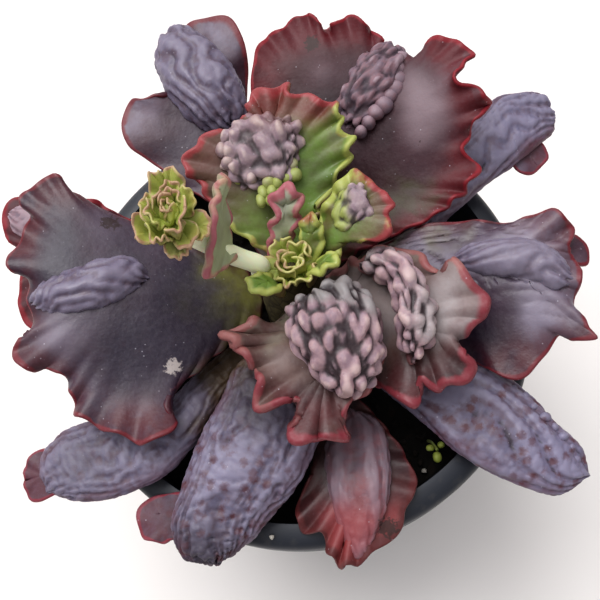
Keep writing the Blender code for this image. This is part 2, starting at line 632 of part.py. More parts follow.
def turned(name, profile, segments):
    """Solid turned round Z from a closed outline of (radius, height above the rim)."""
    points, faces, rings = [], [], []
    for radius, height in profile:
        if radius == 0:
            rings.append([len(points)] * segments)
            points.append((0, 0, height))
            continue
        rings.append(list(range(len(points), len(points) + segments)))
        for k in range(segments):
            angle = 2 * math.pi * k / segments
            points.append((radius * math.cos(angle), radius * math.sin(angle), height))
    pairs = list(zip(rings, rings[1:]))
    if profile[0][0] and profile[-1][0]:
        pairs.append((rings[-1], rings[0]))
    for low, high in pairs:
        for k in range(segments):
            n = (k + 1) % segments
            corners = [low[k], low[n], high[n], high[k]]
            face = [c for i, c in enumerate(corners) if c != corners[i - 1]]
            if len(face) > 2:
                faces.append(face)
    return solid(name, points, faces)


def tube(name, route, radius, sides, rings):
    """Round stalk along a route, with flat ends."""
    at = curve_through(route)
    u = np.linspace(0, 1, rings)
    centres = at(u)
    ahead = np.gradient(centres, axis=0)
    points, faces = [], []
    for centre, way in zip(centres, ahead):
        way = way / np.linalg.norm(way)
        across = np.cross(way, (0, 1, 0))
        across /= np.linalg.norm(across)
        other = np.cross(way, across)
        for k in range(sides):
            angle = 2 * math.pi * k / sides
            points.append(centre + radius * (math.cos(angle) * across + math.sin(angle) * other))
    for r in range(rings - 1):
        for k in range(sides):
            n = (k + 1) % sides
            low, high = r * sides, (r + 1) * sides
            faces.append((low + k, low + n, high + n, high + k))
    faces.append(list(range(sides))[::-1])
    faces.append([(rings - 1) * sides + k for k in range(sides)])
    return solid(name, points, faces)


def material(name, colour, roughness):
    made = bpy.data.materials.new(name)
    made.use_nodes = True
    shader = made.node_tree.nodes["Principled BSDF"]
    shader.inputs["Base Color"].default_value = (*colour, 1)
    shader.inputs["Roughness"].default_value = roughness
    shader.inputs["Metallic"].default_value = 0
    return made


def pot():
    """Nursery pot: thin wall, flat base with drain holes, rounded band round the top."""
    wall_top = RIM_RADIUS - LIP_WIDTH
    lip = []
    for k in range(LIP_STEPS + 1):
        angle = 0.5 * math.pi * k / LIP_STEPS
        lip.append((wall_top + LIP_WIDTH * math.sin(angle), LIP_DROP * math.cos(angle)))
    foot = -RIM_HEIGHT
    outer_top = wall_top + WALL
    profile = [
        (0, foot), (BASE_RADIUS - FOOT_EDGE, foot), (BASE_RADIUS, foot + FOOT_EDGE),
        (outer_top, -SKIRT_DEPTH), (RIM_RADIUS - LIP_EDGE, -SKIRT_DEPTH),
        *lip[::-1],
        (wall_top - LIP_TAPER, -SKIRT_DEPTH), (BASE_RADIUS - WALL, foot + 2 * WALL),
        (BASE_RADIUS - 2 * WALL, foot + WALL), (0, foot + WALL),
    ]
    body = turned("pot", profile, POT_SEGMENTS)
    drills = []
    for k in range(DRAIN_HOLES):
        angle = 2 * math.pi * (k + 0.5) / DRAIN_HOLES
        x, y = DRAIN_CIRCLE * math.cos(angle), DRAIN_CIRCLE * math.sin(angle)
        drill = turned(f"drill_{k}", [(0, foot - 1), (DRAIN_RADIUS, foot - 1),
                                      (DRAIN_RADIUS, foot + WALL + 1), (0, foot + WALL + 1)],
                       HOLE_SIDES)
        drill.data.transform(Matrix.Translation((x * MM, y * MM, 0)))
        drills.append(drill)
    return joined(body, drills, "DIFFERENCE", "EXACT")


def soil():
    """Potting mix that fills the pot, mounded to the stem, with a plain hole for the stem."""
    foot = -RIM_HEIGHT + WALL + SEAT
    wall_top = RIM_RADIUS - LIP_WIDTH - LIP_TAPER
    slope = (wall_top - BASE_RADIUS + WALL) / (RIM_HEIGHT - SKIRT_DEPTH - 2 * WALL)
    top_radius = wall_top + slope * (SOIL_LEVEL + SKIRT_DEPTH) - 2 * SEAT
    low_radius = BASE_RADIUS - 2 * WALL - 2 * SEAT
    hole_foot = STEM_PROFILE[0][0] - SEAT
    profile = [(0, foot), (low_radius, foot), (low_radius + WALL - SEAT, foot + WALL),
               (top_radius, SOIL_LEVEL)]
    for share in SOIL_RINGS:
        radius = top_radius * share
        profile.append((radius, SOIL_LEVEL + SOIL_MOUND * (1 - share ** 2)))
    hole = stem_radius(SOIL_LEVEL) + SEAT
    profile += [(hole, SOIL_LEVEL + SOIL_MOUND), (hole, hole_foot), (0, hole_foot)]
    return turned("soil", profile, SOIL_SEGMENTS)


def stem():
    """Short woody stem, from the foot in the soil to the growing point."""
    profile = [(0, STEM_PROFILE[0][0])]
    profile += [(radius, height) for height, radius in STEM_PROFILE]
    profile.append((0, STEM_PROFILE[-1][0] + 1))
    return turned("stem", profile, STEM_SEGMENTS)


def blade_leaf(name, spec, seed):
    """Thin ruffled leaf from the stem, with its warty swelling grown on it."""
    root_thick = min(ROOT_THICK, ROOT_SHARE * spec["thick"])
    middle, one, other = root_points(spec["root"], root_thick / 2, spec["midrib"][0])
    one, other = nearer_first(spec["margin"], one, other)
    margin = [one, *spec["margin"], other]
    leaf = blade(name, margin, [middle, *spec["midrib"]], (spec["thick"], root_thick), LEAF_RAYS)
    others = tip_blades(name)
    if "lump" in spec:
        others.append(swelling(name + "_lump", LUMPS[spec["lump"]], seed))
    return joined(leaf, others) if others else leaf


def tip_blades(name):
    """The end of a blade that shows past a leaf's swelling, in a list that may be empty."""
    if name not in TIPS:
        return []
    spec = TIPS[name]
    return [blade(name + "_tip", spec["margin"], spec["midrib"], (TIP_THICK, TIP_THICK),
                  BRACT_RAYS, BRACT_RINGS)]


def tongue_leaf(name, spec, seed):
    """Thick wrinkled leaf, with the end of its blade showing where it has one."""
    leaf = swelling(name, spec, seed, spec["root"])
    others = tip_blades(name)
    return joined(leaf, others) if others else leaf


def bract(name, azimuth, rise, length):
    """Small ruffled bract of the flower head, pointing out and up from its centre."""
    a, b = math.radians(azimuth), math.radians(rise)
    out = np.array([math.cos(a) * math.cos(b), math.sin(a) * math.cos(b), math.sin(b)])
    side = np.array([-math.sin(a), math.cos(a), 0])
    up = np.cross(out, side)
    frame = length * np.array([out, side, up])
    centre = np.array(HEAD_CENTRE)
    margin = [centre + np.array(p) @ frame for p in BRACT_MARGIN]
    midrib = [centre + np.array(p) @ frame for p in BRACT_MIDRIB]
    return blade(name, margin, midrib, (BRACT_THICK, BRACT_THICK), BRACT_RAYS, BRACT_RINGS)


def flower_stalk():
    """Pale stalk from the stem, with a clasping bract and a head of ruffled bracts."""
    start = root_points(STALK_ROOT, STALK_RADIUS, STALK_ROUTE[0])[0]
    stalk = tube("flower_stalk", [start, *STALK_ROUTE], STALK_RADIUS, STALK_SIDES, STALK_RINGS)
    core = turned("core", [(HEAD_CORE * r, HEAD_CORE * h) for r, h in CORE_OUTLINE], CORE_SIDES)
    shift = Vector(HEAD_CENTRE) * MM
    core.data.transform(Matrix.Translation(shift))
    spec = CLASPING_BRACT
    others = [core, blade("clasping", spec["margin"], spec["midrib"],
                          (spec["thick"], spec["thick"]), CLASPING_RAYS)]
    for count, length, rise, start_angle in BRACT_WHORLS:
        for k in range(count):
            azimuth = start_angle + 360 * k / count
            others.append(bract(f"bract_{rise}_{k}", azimuth, rise, length))
    return joined(stalk, others)


def build():
    for old in list(bpy.data.objects):
        bpy.data.objects.remove(old)
    looks = {
        "pot": material("pot_black_plastic", (0.03, 0.032, 0.036), 0.45),
        "soil": material("potting_mix", (0.035, 0.025, 0.02), 0.95),
        "stem": material("woody_stem", (0.16, 0.12, 0.08), 0.8),
        "purple": material("leaf_purple_waxy", (0.13, 0.075, 0.085), 0.5),
        "grey": material("leaf_blue_grey_waxy", (0.17, 0.16, 0.21), 0.55),
        "red": material("leaf_old_red", (0.36, 0.12, 0.1), 0.5),
        "green": material("leaf_young_green", (0.3, 0.38, 0.12), 0.5),
    }
    pieces = [(pot(), "pot"), (soil(), "soil"), (stem(), "stem"), (flower_stalk(), "green")]
    for seed, (name, spec) in enumerate(BLADES.items()):
        pieces.append((blade_leaf(name, spec, seed), spec.get("look", "purple")))
    for seed, (name, spec) in enumerate(TONGUES.items()):
        pieces.append((tongue_leaf(name, spec, 50 + seed), "grey"))
    for piece, look in pieces:
        piece.data.materials.clear()
        piece.data.materials.append(looks[look])
        piece.data.shade_smooth()
        piece.data.set_sharp_from_angle(angle=math.radians(40))


build()
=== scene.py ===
"""Potted echeveria, dressed: fine leaves, their skins, the pot, the potting mix and the light.

Lengths in the tables are millimetres. Heights of leaves are above the pot's rim, and x and y are
from the pot's axis, as in the part's own source.
"""
import json
import math
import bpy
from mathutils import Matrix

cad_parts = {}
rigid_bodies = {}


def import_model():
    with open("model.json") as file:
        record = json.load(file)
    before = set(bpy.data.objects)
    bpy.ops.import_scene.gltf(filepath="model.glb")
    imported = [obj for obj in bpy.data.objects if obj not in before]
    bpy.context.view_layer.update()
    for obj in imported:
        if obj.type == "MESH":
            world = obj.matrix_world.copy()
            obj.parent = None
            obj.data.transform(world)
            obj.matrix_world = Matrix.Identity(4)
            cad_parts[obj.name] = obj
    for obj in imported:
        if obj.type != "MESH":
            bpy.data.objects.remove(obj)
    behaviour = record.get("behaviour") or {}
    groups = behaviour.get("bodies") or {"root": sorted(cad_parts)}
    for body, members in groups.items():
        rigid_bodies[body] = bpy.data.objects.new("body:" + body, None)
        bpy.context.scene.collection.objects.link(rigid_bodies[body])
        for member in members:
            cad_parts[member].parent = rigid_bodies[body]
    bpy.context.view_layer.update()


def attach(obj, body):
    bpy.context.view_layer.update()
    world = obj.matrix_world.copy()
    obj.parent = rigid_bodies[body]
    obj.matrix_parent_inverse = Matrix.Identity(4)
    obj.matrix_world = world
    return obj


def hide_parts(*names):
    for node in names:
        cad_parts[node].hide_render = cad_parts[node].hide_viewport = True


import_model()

from types import SimpleNamespace

import bmesh
import bpy
import numpy as np
from mathutils import Matrix, Vector

MM = 0.001

# Pot
RIM_RADIUS = 75.0
RIM_HEIGHT = 115.0       # the rim's outer edge above the floor
BASE_RADIUS = 53.0
WALL = 1.6
LIP_WIDTH = 7.0          # the rounded band that shows round the top
LIP_DROP = 4.0           # how far that band falls to its outer edge
SKIRT_DEPTH = 14.0       # the band's outer face, down to the plain wall
DRAIN_HOLES = 6
DRAIN_RADIUS = 4.5
DRAIN_CIRCLE = 36.0
FOOT_ROUND = 1.5         # rounded edge of the base
SKIRT_INSET = 1.2        # the band's lower edge lies this far inside the rim
SKIRT_CHAMFER = (0.7, 0.4)       # and its chamfer ends this far inside it and this far up
INNER_TOP = (0.25, 0.7)  # inner edge of the band: inward and down
INNER_LEAN = 0.3         # how far the inner face of the band leans inward
POT_SEGMENTS = 192
LIP_STEPS = 17
HOLE_SIDES = 40
SHARP_ANGLE = 35         # degrees; sharper edges of the pot are kept sharp

# Soil
SOIL_LEVEL = -15.0       # at the wall, below the rim
SOIL_MOUND = 4.0         # higher at the stem
SOIL_RADIUS = 66.4       # at the top, inside the pot's wall
SOIL_GAP = (0.35, 0.7)   # gaps left over the pot's base and inside its wall
SOIL_FOOT = 1.2          # how much the mix widens beside the pot's base
STEM_HOLE = (10.4, -40.4)        # radius and bottom of the hole for the stem
SOIL_RINGS = 46
SOIL_SEGMENTS = 160
SOIL_LUMPS = [(4.5, 0.9), (1.9, 0.6)]    # size of the lumps of its top and how high they stand
CRUMBS = 700
CRUMB_SIZES = (0.5, 1.9)
CRUMB_LIFT = 0.7         # height of a crumb's middle over the mound

# Stem: height above the rim and radius, from its foot in the soil to the growing point
STEM_PROFILE = [(-40, 7), (-30, 9.5), (-8, 10), (17, 10), (26, 8.2), (33, 5.6), (37, 3)]
STEM_RINGS = 110
STEM_SEGMENTS = 72
SCAR_SPACING = 5         # between the ringed scars of shed leaves

# Leaf tissue
MARGIN_THICK = 1.1
ROOT_FADE = 9.0          # length over which a leaf thins out from its root
MARGIN_SMOOTH = 9.0      # lobes shorter than this stay near the margin
MARGIN_SLOW = 20.0       # and longer ones than this bend the whole blade
SMALLEST_SHARES = (14, 9)        # both are at most the margin's length over these
MARGIN_SAMPLES = 1200
TIP_AIM = 0.8            # the midrib's last part, from this fraction, points at the tip
SWAY_POWER = 5           # how fast a middling lobe dies away from the margin
SWAY_LIFT = 0.5          # share of its rise or fall that the blade keeps
FINE_LOBE_POWER = 8      # the same two of a small lobe
LOBE_LIFT = 0.5
ROOT_THICK = 4.2         # most, and a root is this much thicker than its blade:
ROOT_SHARE = 1.3
ROOT_SEAT = 0.55         # gap between a root and the stem
STEP = 1.0      # spacing of the fine meshes' points
RING_STEP = 1.15         # a blade's rings lie wider apart by this, and closer near the margin:
RING_POWER = 1.25
FEWEST_RAYS = 8
FEWEST_RINGS = 10
ROLL_ANGLES = (35, 90, 145)      # degrees of the points that roll round a margin
SWELLING_STEP = 0.62     # a swelling's points lie closer by this
HEAD_STEP = 0.45         # and so do those of the head's bracts
CLASP_STEP = 0.6         # and of the clasping bract

# Relief of a blade: the margin's waves, then swells, puckers and veins as size and height
WAVE_END = 14            # the waves rise over this length from the margin's two ends
TEETH_REACH = 2.5        # how far in from the margin its teeth push the blade
BEAD_REACH = 1.5         # half the width of the margin's bead
RED_REACH = 2.4          # how far in from the margin its own red line reaches
FREE_FROM = (25, 0.3)    # the blade is level near its root: length, and share that is quite level
SWELLS = (23, 1.9)
PUCKERS = (6, 0.2)
VEINS = (2.6, 0.03)
VEIN_SPREAD = (0.55, 0.14)       # veins are laid out round and along the blade at these scales
CREST_SHARES = (0.55, 0.6, 0.3)  # a crest: of level blade, for a swell and for a pucker
CREASE_LEVEL = 0.7       # height of a wrinkle that neither swells nor sinks the blade

# Camera: height above the horizon and roll in degrees, distance, and the point that it looks at,
# at the height of the rim; then the lens and its film's width
VIEW_HEIGHT = 67.47
VIEW_ROLL = -10.84
VIEW_DISTANCE = 265.89
VIEW_AIM = (1.38, 4.49)
LENS = 48
FILM_WIDTH = 36

# Light: the sky's strength where it is dimmest and brightest, and the azimuth and height of its
# brightest part; then broad lamps by azimuth, height and spread in degrees, and strength
SKY_COLOUR = "#fbfbff"
SKY_DIM = 0.2
SKY_BRIGHT = 1.1
SKY_BRIGHTEST = (125, 56)
SKY_FADE = (0.1, 0.95)   # cosines off that part at which the sky is dimmest and brightest
SOFT_LIGHTS = [("window", 124, 65, 40, 1.6), ("bounce", 300, 40, 70, 0.2)]
FLOOR_HALF = 3           # metres
FLOOR_PATCH = 1000 / 6   # six pale patches to a metre

# Blades. root: azimuth in degrees, height, half width. thick: middle of the blade.
# margin: from one side of the root round the tip to the other side.
BLADES = {
    "leaf_back_left": {
        "root": (100, 20, 4.6), "thick": 3.6,
        "midrib": [(-5, 31, 19), (-10, 48, 22), (-15, 64, 26), (-17, 78, 28)],
        "margin": [(-15, 29, 19), (-27, 41, 21), (-38, 53, 24), (-44, 59, 25), (-45, 67, 27),
                   (-40, 74, 30), (-34, 73, 33), (-28, 74, 29), (-23, 86, 29), (-19, 96, 34),
                   (-12, 97, 37), (-5, 96, 37), (-2, 90, 34), (-1, 82, 28), (-3, 73, 24),
                   (-4, 62, 21), (-1, 43, 19)],
    },
    "leaf_back": {
        "root": (58, 14, 4.5), "thick": 4.0,
        "midrib": [(18, 27, 18), (28, 37, 23), (36, 48, 28), (42, 57, 31)],
        "margin": [(3, 32, 20), (0, 53, 27), (-1, 68, 31), (1, 76, 34), (5, 83, 35),
                   (12, 86, 36), (18, 89, 36), (22, 88, 39), (27, 82, 35), (31, 83, 41),
                   (39, 80, 40), (43, 72, 33), (51, 63, 32), (56, 63, 36), (57, 67, 41),
                   (63, 64, 43), (68, 56, 43), (61, 49, 46), (70, 42, 40), (65, 38, 34),
                   (60, 31, 31), (62, 24, 32), (57, 18, 29), (45, 13, 26), (33, 11, 22)],
    },
    "leaf_left": {
        "root": (176, 12, 5.0), "thick": 4.2,
        "midrib": [(-18, 4, 16), (-33, 5, 22), (-46, 5, 26), (-59, 4, 28)],
        "margin": [(-16, 15, 17), (-31, 25, 22), (-47, 31, 26), (-57, 37, 28), (-64, 43, 33),
                   (-66, 47, 39), (-72, 45, 37), (-78, 42, 34), (-76, 36, 30), (-79, 29, 31),
                   (-84, 20, 34), (-79, 17, 29), (-78, 8, 26), (-79, -3, 29), (-83, -5, 33),
                   (-81, -13, 30), (-73, -13, 25), (-70, -19, 22), (-69, -27, 21),
                   (-63, -31, 23), (-56, -36, 22), (-49, -39, 25), (-41, -37, 22),
                   (-42, -27, 19), (-36, -21, 17), (-22, -10, 14)],
    },
    "leaf_right": {
        "root": (4, 8, 4.5), "thick": 4.0,
        "midrib": [(28, 2, 17), (42, -3, 22), (55, -8, 26), (67, -14, 27)],
        "margin": [(27, 11, 14), (39, 12, 18), (51, 11, 23), (62, 7, 27), (70, 4, 29),
                   (77, 5, 33), (81, 3, 35), (84, -2, 31), (82, -6, 28), (82, -13, 28),
                   (82, -19, 30), (79, -22, 26), (78, -28, 27), (81, -35, 31), (76, -34, 26),
                   (73, -31, 22), (67, -36, 23), (61, -40, 23), (55, -39, 20), (47, -31, 16),
                   (33, -18, 13)],
    },
    "leaf_low_left": {
        "root": (160, 3, 4.5), "thick": 3.4,
        "midrib": [(-24, 8, 8), (-41, 15, 11), (-57, 22, 14), (-73, 28, 15)],
        "margin": [(-23, 18, 8), (-37, 32, 12), (-53, 41, 15), (-59, 46, 18), (-64, 47, 19),
                   (-73, 48, 17), (-80, 51, 18), (-86, 52, 19), (-90, 48, 18), (-90, 40, 16),
                   (-87, 35, 14), (-86, 26, 14), (-87, 20, 15), (-87, 12, 15), (-83, 6, 13),
                   (-76, 2, 10), (-61, -1, 8), (-39, -2, 5), (-21, -1, 4)],
    },
    "leaf_front": {
        "root": (-82, -5, 4.0), "thick": 3.0,
        "midrib": [(4, -26, 0), (6, -42, 4), (7, -57, 7), (6, -69, 8)],
        "margin": [(-2, -26, 0), (-3, -38, 3), (-3, -48, 6), (-8, -57, 7), (-11, -64, 6),
                   (-11, -69, 5), (-5, -71, 5), (-4, -77, 6), (-1, -81, 5), (3, -81, 7),
                   (8, -79, 6), (13, -77, 8), (18, -73, 7), (20, -68, 8), (24, -64, 9),
                   (24, -56, 7), (20, -45, 5), (12, -29, 1)],
    },
    "leaf_upper_back": {
        "root": (82, 27, 4.2), "thick": 3.2,
        "midrib": [(1, 16, 30), (1, 25, 35), (1, 34, 40), (2, 43, 43)],
        "margin": [(-9, 13, 31), (-17, 21, 36), (-21, 30, 41), (-25, 35, 46), (-20, 41, 47),
                   (-14, 44, 46), (-11, 43, 43), (-4, 47, 44), (-2, 52, 48), (3, 54, 48),
                   (9, 54, 47), (12, 50, 50), (15, 47, 49), (19, 47, 47), (23, 43, 48),
                   (23, 38, 44), (25, 33, 46), (23, 29, 42), (18, 24, 38), (10, 16, 33)],
    },
    "leaf_low_centre": {
        "root": (-76, 25, 3.6), "thick": 3.2,
        "midrib": [(4, -15, 28), (5, -21, 31), (5, -24, 32), (5, -31, 31)],
        "margin": [(-6, -14, 28), (-12, -15, 34), (-16, -14, 38), (-21, -20, 40),
                   (-17, -21, 36), (-18, -25, 36), (-12, -28, 34), (-16, -34, 35),
                   (-13, -38, 34), (-6, -38, 31), (-4, -41, 32), (-8, -46, 34), (-5, -50, 33),
                   (0, -48, 30), (3, -51, 32), (7, -49, 31), (5, -44, 29), (11, -39, 27),
                   (18, -33, 27), (20, -24, 28), (17, -12, 28)],
    },
    "leaf_low_right": {
        "root": (-14, 19, 4.0), "thick": 3.2,
        "midrib": [(18, -5, 21), (26, -13, 25), (33, -20, 28), (38, -25, 29)],
        "margin": [(20, 3, 26), (32, 3, 29), (39, -5, 33), (43, -10, 35), (45, -8, 39),
                   (49, -13, 39), (51, -18, 38), (52, -24, 35), (45, -26, 31), (41, -29, 30),
                   (44, -34, 33), (45, -38, 31), (37, -41, 29), (31, -38, 26), (29, -41, 27),
                   (27, -44, 26), (22, -39, 21), (18, -30, 17), (15, -17, 16)],
    },
    "leaf_heart_right": {
        "root": (25, 30, 3.0), "thick": 2.4,
        "midrib": [(12, 6, 36), (16, 10, 39), (21, 14, 41)],
        "margin": [(10, 9, 36), (14, 16, 39), (19, 21, 43), (24, 22, 47), (28, 17, 45),
                   (32, 10, 46), (30, 7, 43), (30, 2, 45), (26, 1, 41), (20, 4, 39),
                   (15, 6, 38), (15, 1, 36), (13, -1, 34)],
    },
    "leaf_heart_back": {
        "root": (112, 33, 2.2), "thick": 2.2,
        "midrib": [(-1, 9, 38), (0, 12, 42), (2, 16, 45)],
        "margin": [(-4, 8, 37), (-2, 12, 42), (-1, 15, 46), (1, 19, 49), (6, 18, 49),
                   (6, 14, 44), (3, 10, 39)],
    },
    "leaf_heart_front": {
        "root": (10, 36, 1.6), "thick": 2.0,
        "midrib": [(7, 3, 38), (8, 7, 42)],
        "margin": [(5, 5, 38), (6, 10, 42), (9, 11, 45), (11, 8, 42), (10, 3, 38)],
    },
    "leaf_heart_low": {
        "root": (-32, 33, 1.8), "thick": 2.0,
        "midrib": [(7, -3, 37), (9, -4, 41)],
        "margin": [(5, -4, 38), (7, -6, 42), (11, -6, 45), (14, -3, 44), (12, 0, 40), (9, 0, 37)],
    },
    "leaf_heart_left": {
        "root": (-130, 33, 1.8), "thick": 2.0,
        "midrib": [(-5, -5, 37), (-7, -6, 41)],
        "margin": [(-6, -2, 38), (-9, -3, 42), (-12, -5, 44), (-10, -9, 44), (-5, -9, 42),
                   (-3, -6, 38)],
    },
}

# Ends of blades that show past a swelling or a margin and are fused to their leaf
TIPS = {
    "leaf_front_left": {
        "margin": [(-41, -53, 10), (-48, -52, 6), (-54, -52, 4), (-58, -55, 4), (-57, -62, 4),
                   (-51, -65, 6), (-43, -64, 9)],
        "midrib": [(-40, -58, 10), (-46, -58, 7), (-51, -57, 5)],
    },
    "leaf_left_front": {
        "margin": [(-80, -34, 8), (-85, -31, 6), (-90, -33, 5), (-92, -38, 4), (-91, -44, 4),
                   (-87, -46, 5), (-81, -45, 7)],
        "midrib": [(-78, -39, 8), (-83, -39, 6), (-87, -39, 5)],
    },
    "leaf_right_back": {
        "margin": [(86, 43, 12), (91, 40, 10), (92, 35, 9), (87, 31, 8), (82, 31, 9), (79, 36, 11)],
        "midrib": [(82, 41, 12), (85, 38, 10), (87, 35, 9)],
    },
    "leaf_right": {
        "margin": [(79, -3, 28), (85, -2, 25), (88, -5, 25), (88, -9, 24), (86, -12, 25),
                   (80, -11, 28)],
        "midrib": [(77, -7, 28), (82, -7, 26), (85, -7, 25)],
    },
}

# Warty swellings that stand on a blade: both sides of the outline, both from the same end
# to the other, how far the swelling rises and is sunk, and the length and width of a wart.
LUMPS = {
    "leaf_back_left": {
        "left": [(-24, 97, 31), (-29, 92, 31), (-31, 86, 30), (-29, 76, 29), (-26, 68, 28),
                 (-21, 61, 27), (-14, 57, 26), (-9, 57, 26)],
        "right": [(-24, 97, 31), (-18, 95, 32), (-13, 89, 32), (-8, 82, 31), (-5, 74, 30),
                  (-4, 67, 29), (-5, 61, 27), (-9, 57, 26)],
        "rise": 9.0, "sunk": 4.0, "wart": (16, 9), "wart_rise": 3.6,
    },
    "leaf_back": {
        "left": [(47, 71, 33), (40, 71, 34), (33, 67, 33), (28, 61, 32), (25, 55, 30),
                 (26, 48, 29)],
        "right": [(47, 71, 33), (50, 66, 33), (48, 60, 32), (44, 54, 31), (37, 49, 30),
                  (31, 45, 29), (26, 48, 29)],
        "rise": 8.0, "sunk": 4.0, "wart": (9, 7.5), "wart_rise": 3.4,
    },
    "leaf_left": {
        "left": [(-78, 8, 28), (-72, 14, 28), (-64, 15, 29), (-56, 17, 28), (-47, 16, 27),
                 (-42, 10, 25)],
        "right": [(-78, 8, 28), (-74, 4, 28), (-67, 2, 28), (-58, 2, 28), (-50, 4, 27),
                  (-42, 10, 25)],
        "rise": 7.0, "sunk": 4.0, "wart": (26, 8), "wart_rise": 2.8,
    },
    "leaf_right": {
        "left": [(48, -3, 24), (54, 0, 26), (63, -1, 28), (71, -3, 29), (77, -9, 29),
                 (80, -18, 28)],
        "right": [(48, -3, 24), (52, -8, 25), (60, -12, 27), (68, -15, 27), (74, -19, 27),
                  (80, -18, 28)],
        "rise": 6.0, "sunk": 3.0, "wart": (26, 8), "wart_rise": 2.6,
    },
    "leaf_low_left": {
        "left": [(-88, 47, 17), (-80, 49, 18), (-73, 45, 17), (-62, 37, 15)],
        "right": [(-88, 47, 17), (-87, 40, 16), (-80, 34, 15), (-71, 31, 15), (-62, 37, 15)],
        "rise": 5.0, "sunk": 2.5, "wart": (14, 8), "wart_rise": 2.2,
    },
    "leaf_front": {
        "left": [(10, -36, 4), (1, -46, 6), (-1, -58, 7), (0, -70, 6), (2, -78, 6), (6, -80, 6)],
        "right": [(10, -36, 4), (18, -42, 5), (19, -52, 8), (17, -62, 9), (12, -72, 8),
                  (6, -80, 6)],
        "rise": 4.5, "sunk": 2.0, "wart": (26, 8), "wart_rise": 2.2,
    },
    "leaf_upper_back": {
        "left": [(-14, 35, 41), (-14, 40, 43), (-9, 45, 45), (-2, 47, 46), (6, 44, 47),
                 (11, 40, 46)],
        "right": [(-14, 35, 41), (-10, 27, 40), (-3, 25, 39), (4, 25, 41), (9, 32, 43),
                  (11, 40, 46)],
        "rise": 5.0, "sunk": 4.0, "wart": (7, 7), "wart_rise": 3.2,
    },
    "leaf_low_centre": {
        "left": [(5, -10, 33), (0, -11, 34), (-3, -15, 35), (-3, -23, 35), (1, -32, 33),
                 (5, -38, 32), (10, -40, 31)],
        "right": [(5, -10, 33), (11, -8, 33), (17, -7, 33), (21, -12, 33), (23, -19, 33),
                  (22, -27, 32), (20, -33, 31), (16, -38, 31), (10, -40, 31)],
        "rise": 11.0, "sunk": 7.0, "wart": (8, 7.5), "wart_rise": 3.8,
    },
    "leaf_low_right": {
        "left": [(20, -1, 31), (24, -6, 33), (27, -13, 34), (27, -20, 34), (26, -27, 33),
                 (29, -34, 31)],
        "right": [(20, -1, 31), (28, 1, 33), (34, -4, 35), (37, -12, 35), (38, -20, 34),
                  (36, -28, 33), (29, -34, 31)],
        "rise": 8.0, "sunk": 7.0, "wart": (8, 7), "wart_rise": 2.8,
    },
    "leaf_heart_right": {
        "left": [(15, 7, 38), (16, 14, 41), (21, 18, 44), (25, 17, 45)],
        "right": [(15, 7, 38), (21, 6, 40), (27, 9, 43), (25, 17, 45)],
        "rise": 3.5, "sunk": 2.5, "wart": (6.5, 6), "wart_rise": 2.2,
    },
}

# Tongue leaves, thick and wrinkled all over: root as above, both sides of the outline from
# the root outward, half the thickness above and below, and the length and width of a wrinkle.
TONGUES = {
    "leaf_front_right": {
        "root": (-42, 3, 4.2),
        "left": [(21, -9, 5), (37, -20, 8), (50, -28, 10), (58, -37, 11), (64, -46, 11),
                 (69, -55, 10), (74, -62, 8), (74, -69, 6)],
        "right": [(14, -22, 5), (23, -35, 7), (31, -46, 9), (37, -55, 10), (44, -62, 10),
                  (54, -69, 9), (64, -73, 7), (74, -69, 6)],
        "rise": 5.0, "sunk": 3.5, "wart": (22, 8), "wart_rise": 2.2,
    },
    "leaf_front_left": {
        "root": (-112, 5, 4.2),
        "left": [(-1, -22, 9), (1, -33, 12), (0, -43, 14), (-5, -52, 14), (-10, -58, 13),
                 (-17, -63, 11), (-26, -70, 9), (-36, -74, 7)],
        "right": [(-16, -14, 9), (-23, -20, 12), (-28, -29, 14), (-34, -37, 15),
                  (-39, -45, 14), (-43, -53, 13), (-47, -62, 11), (-45, -71, 8), (-36, -74, 7)],
        "rise": 5.5, "sunk": 4.0, "wart": (22, 8), "wart_rise": 2.4,
    },
    "leaf_left_front": {
        "root": (-148, -4, 4.0),
        "left": [(-14, -14, 0), (-23, -22, 4), (-32, -32, 7), (-39, -40, 9), (-48, -47, 10),
                 (-62, -50, 9), (-75, -49, 8), (-84, -44, 6)],
        "right": [(-22, -7, 1), (-34, -16, 6), (-46, -25, 9), (-58, -27, 10), (-69, -26, 9),
                  (-79, -28, 8), (-86, -35, 7), (-84, -44, 6)],
        "rise": 4.0, "sunk": 3.0, "wart": (22, 8), "wart_rise": 2.0,
    },
    "leaf_right_back": {
        "root": (33, 2, 4.2),
        "left": [(17, 14, 5), (33, 23, 9), (50, 33, 12), (62, 43, 15), (71, 50, 16),
                 (79, 56, 17), (88, 57, 16), (95, 55, 15), (97, 49, 13)],
        "right": [(25, 5, 5), (40, 12, 8), (54, 19, 10), (67, 27, 11), (78, 32, 12),
                  (90, 39, 12), (96, 43, 12), (97, 49, 13)],
        "rise": 4.5, "sunk": 3.5, "wart": (18, 8), "wart_rise": 2.2,
    },
}

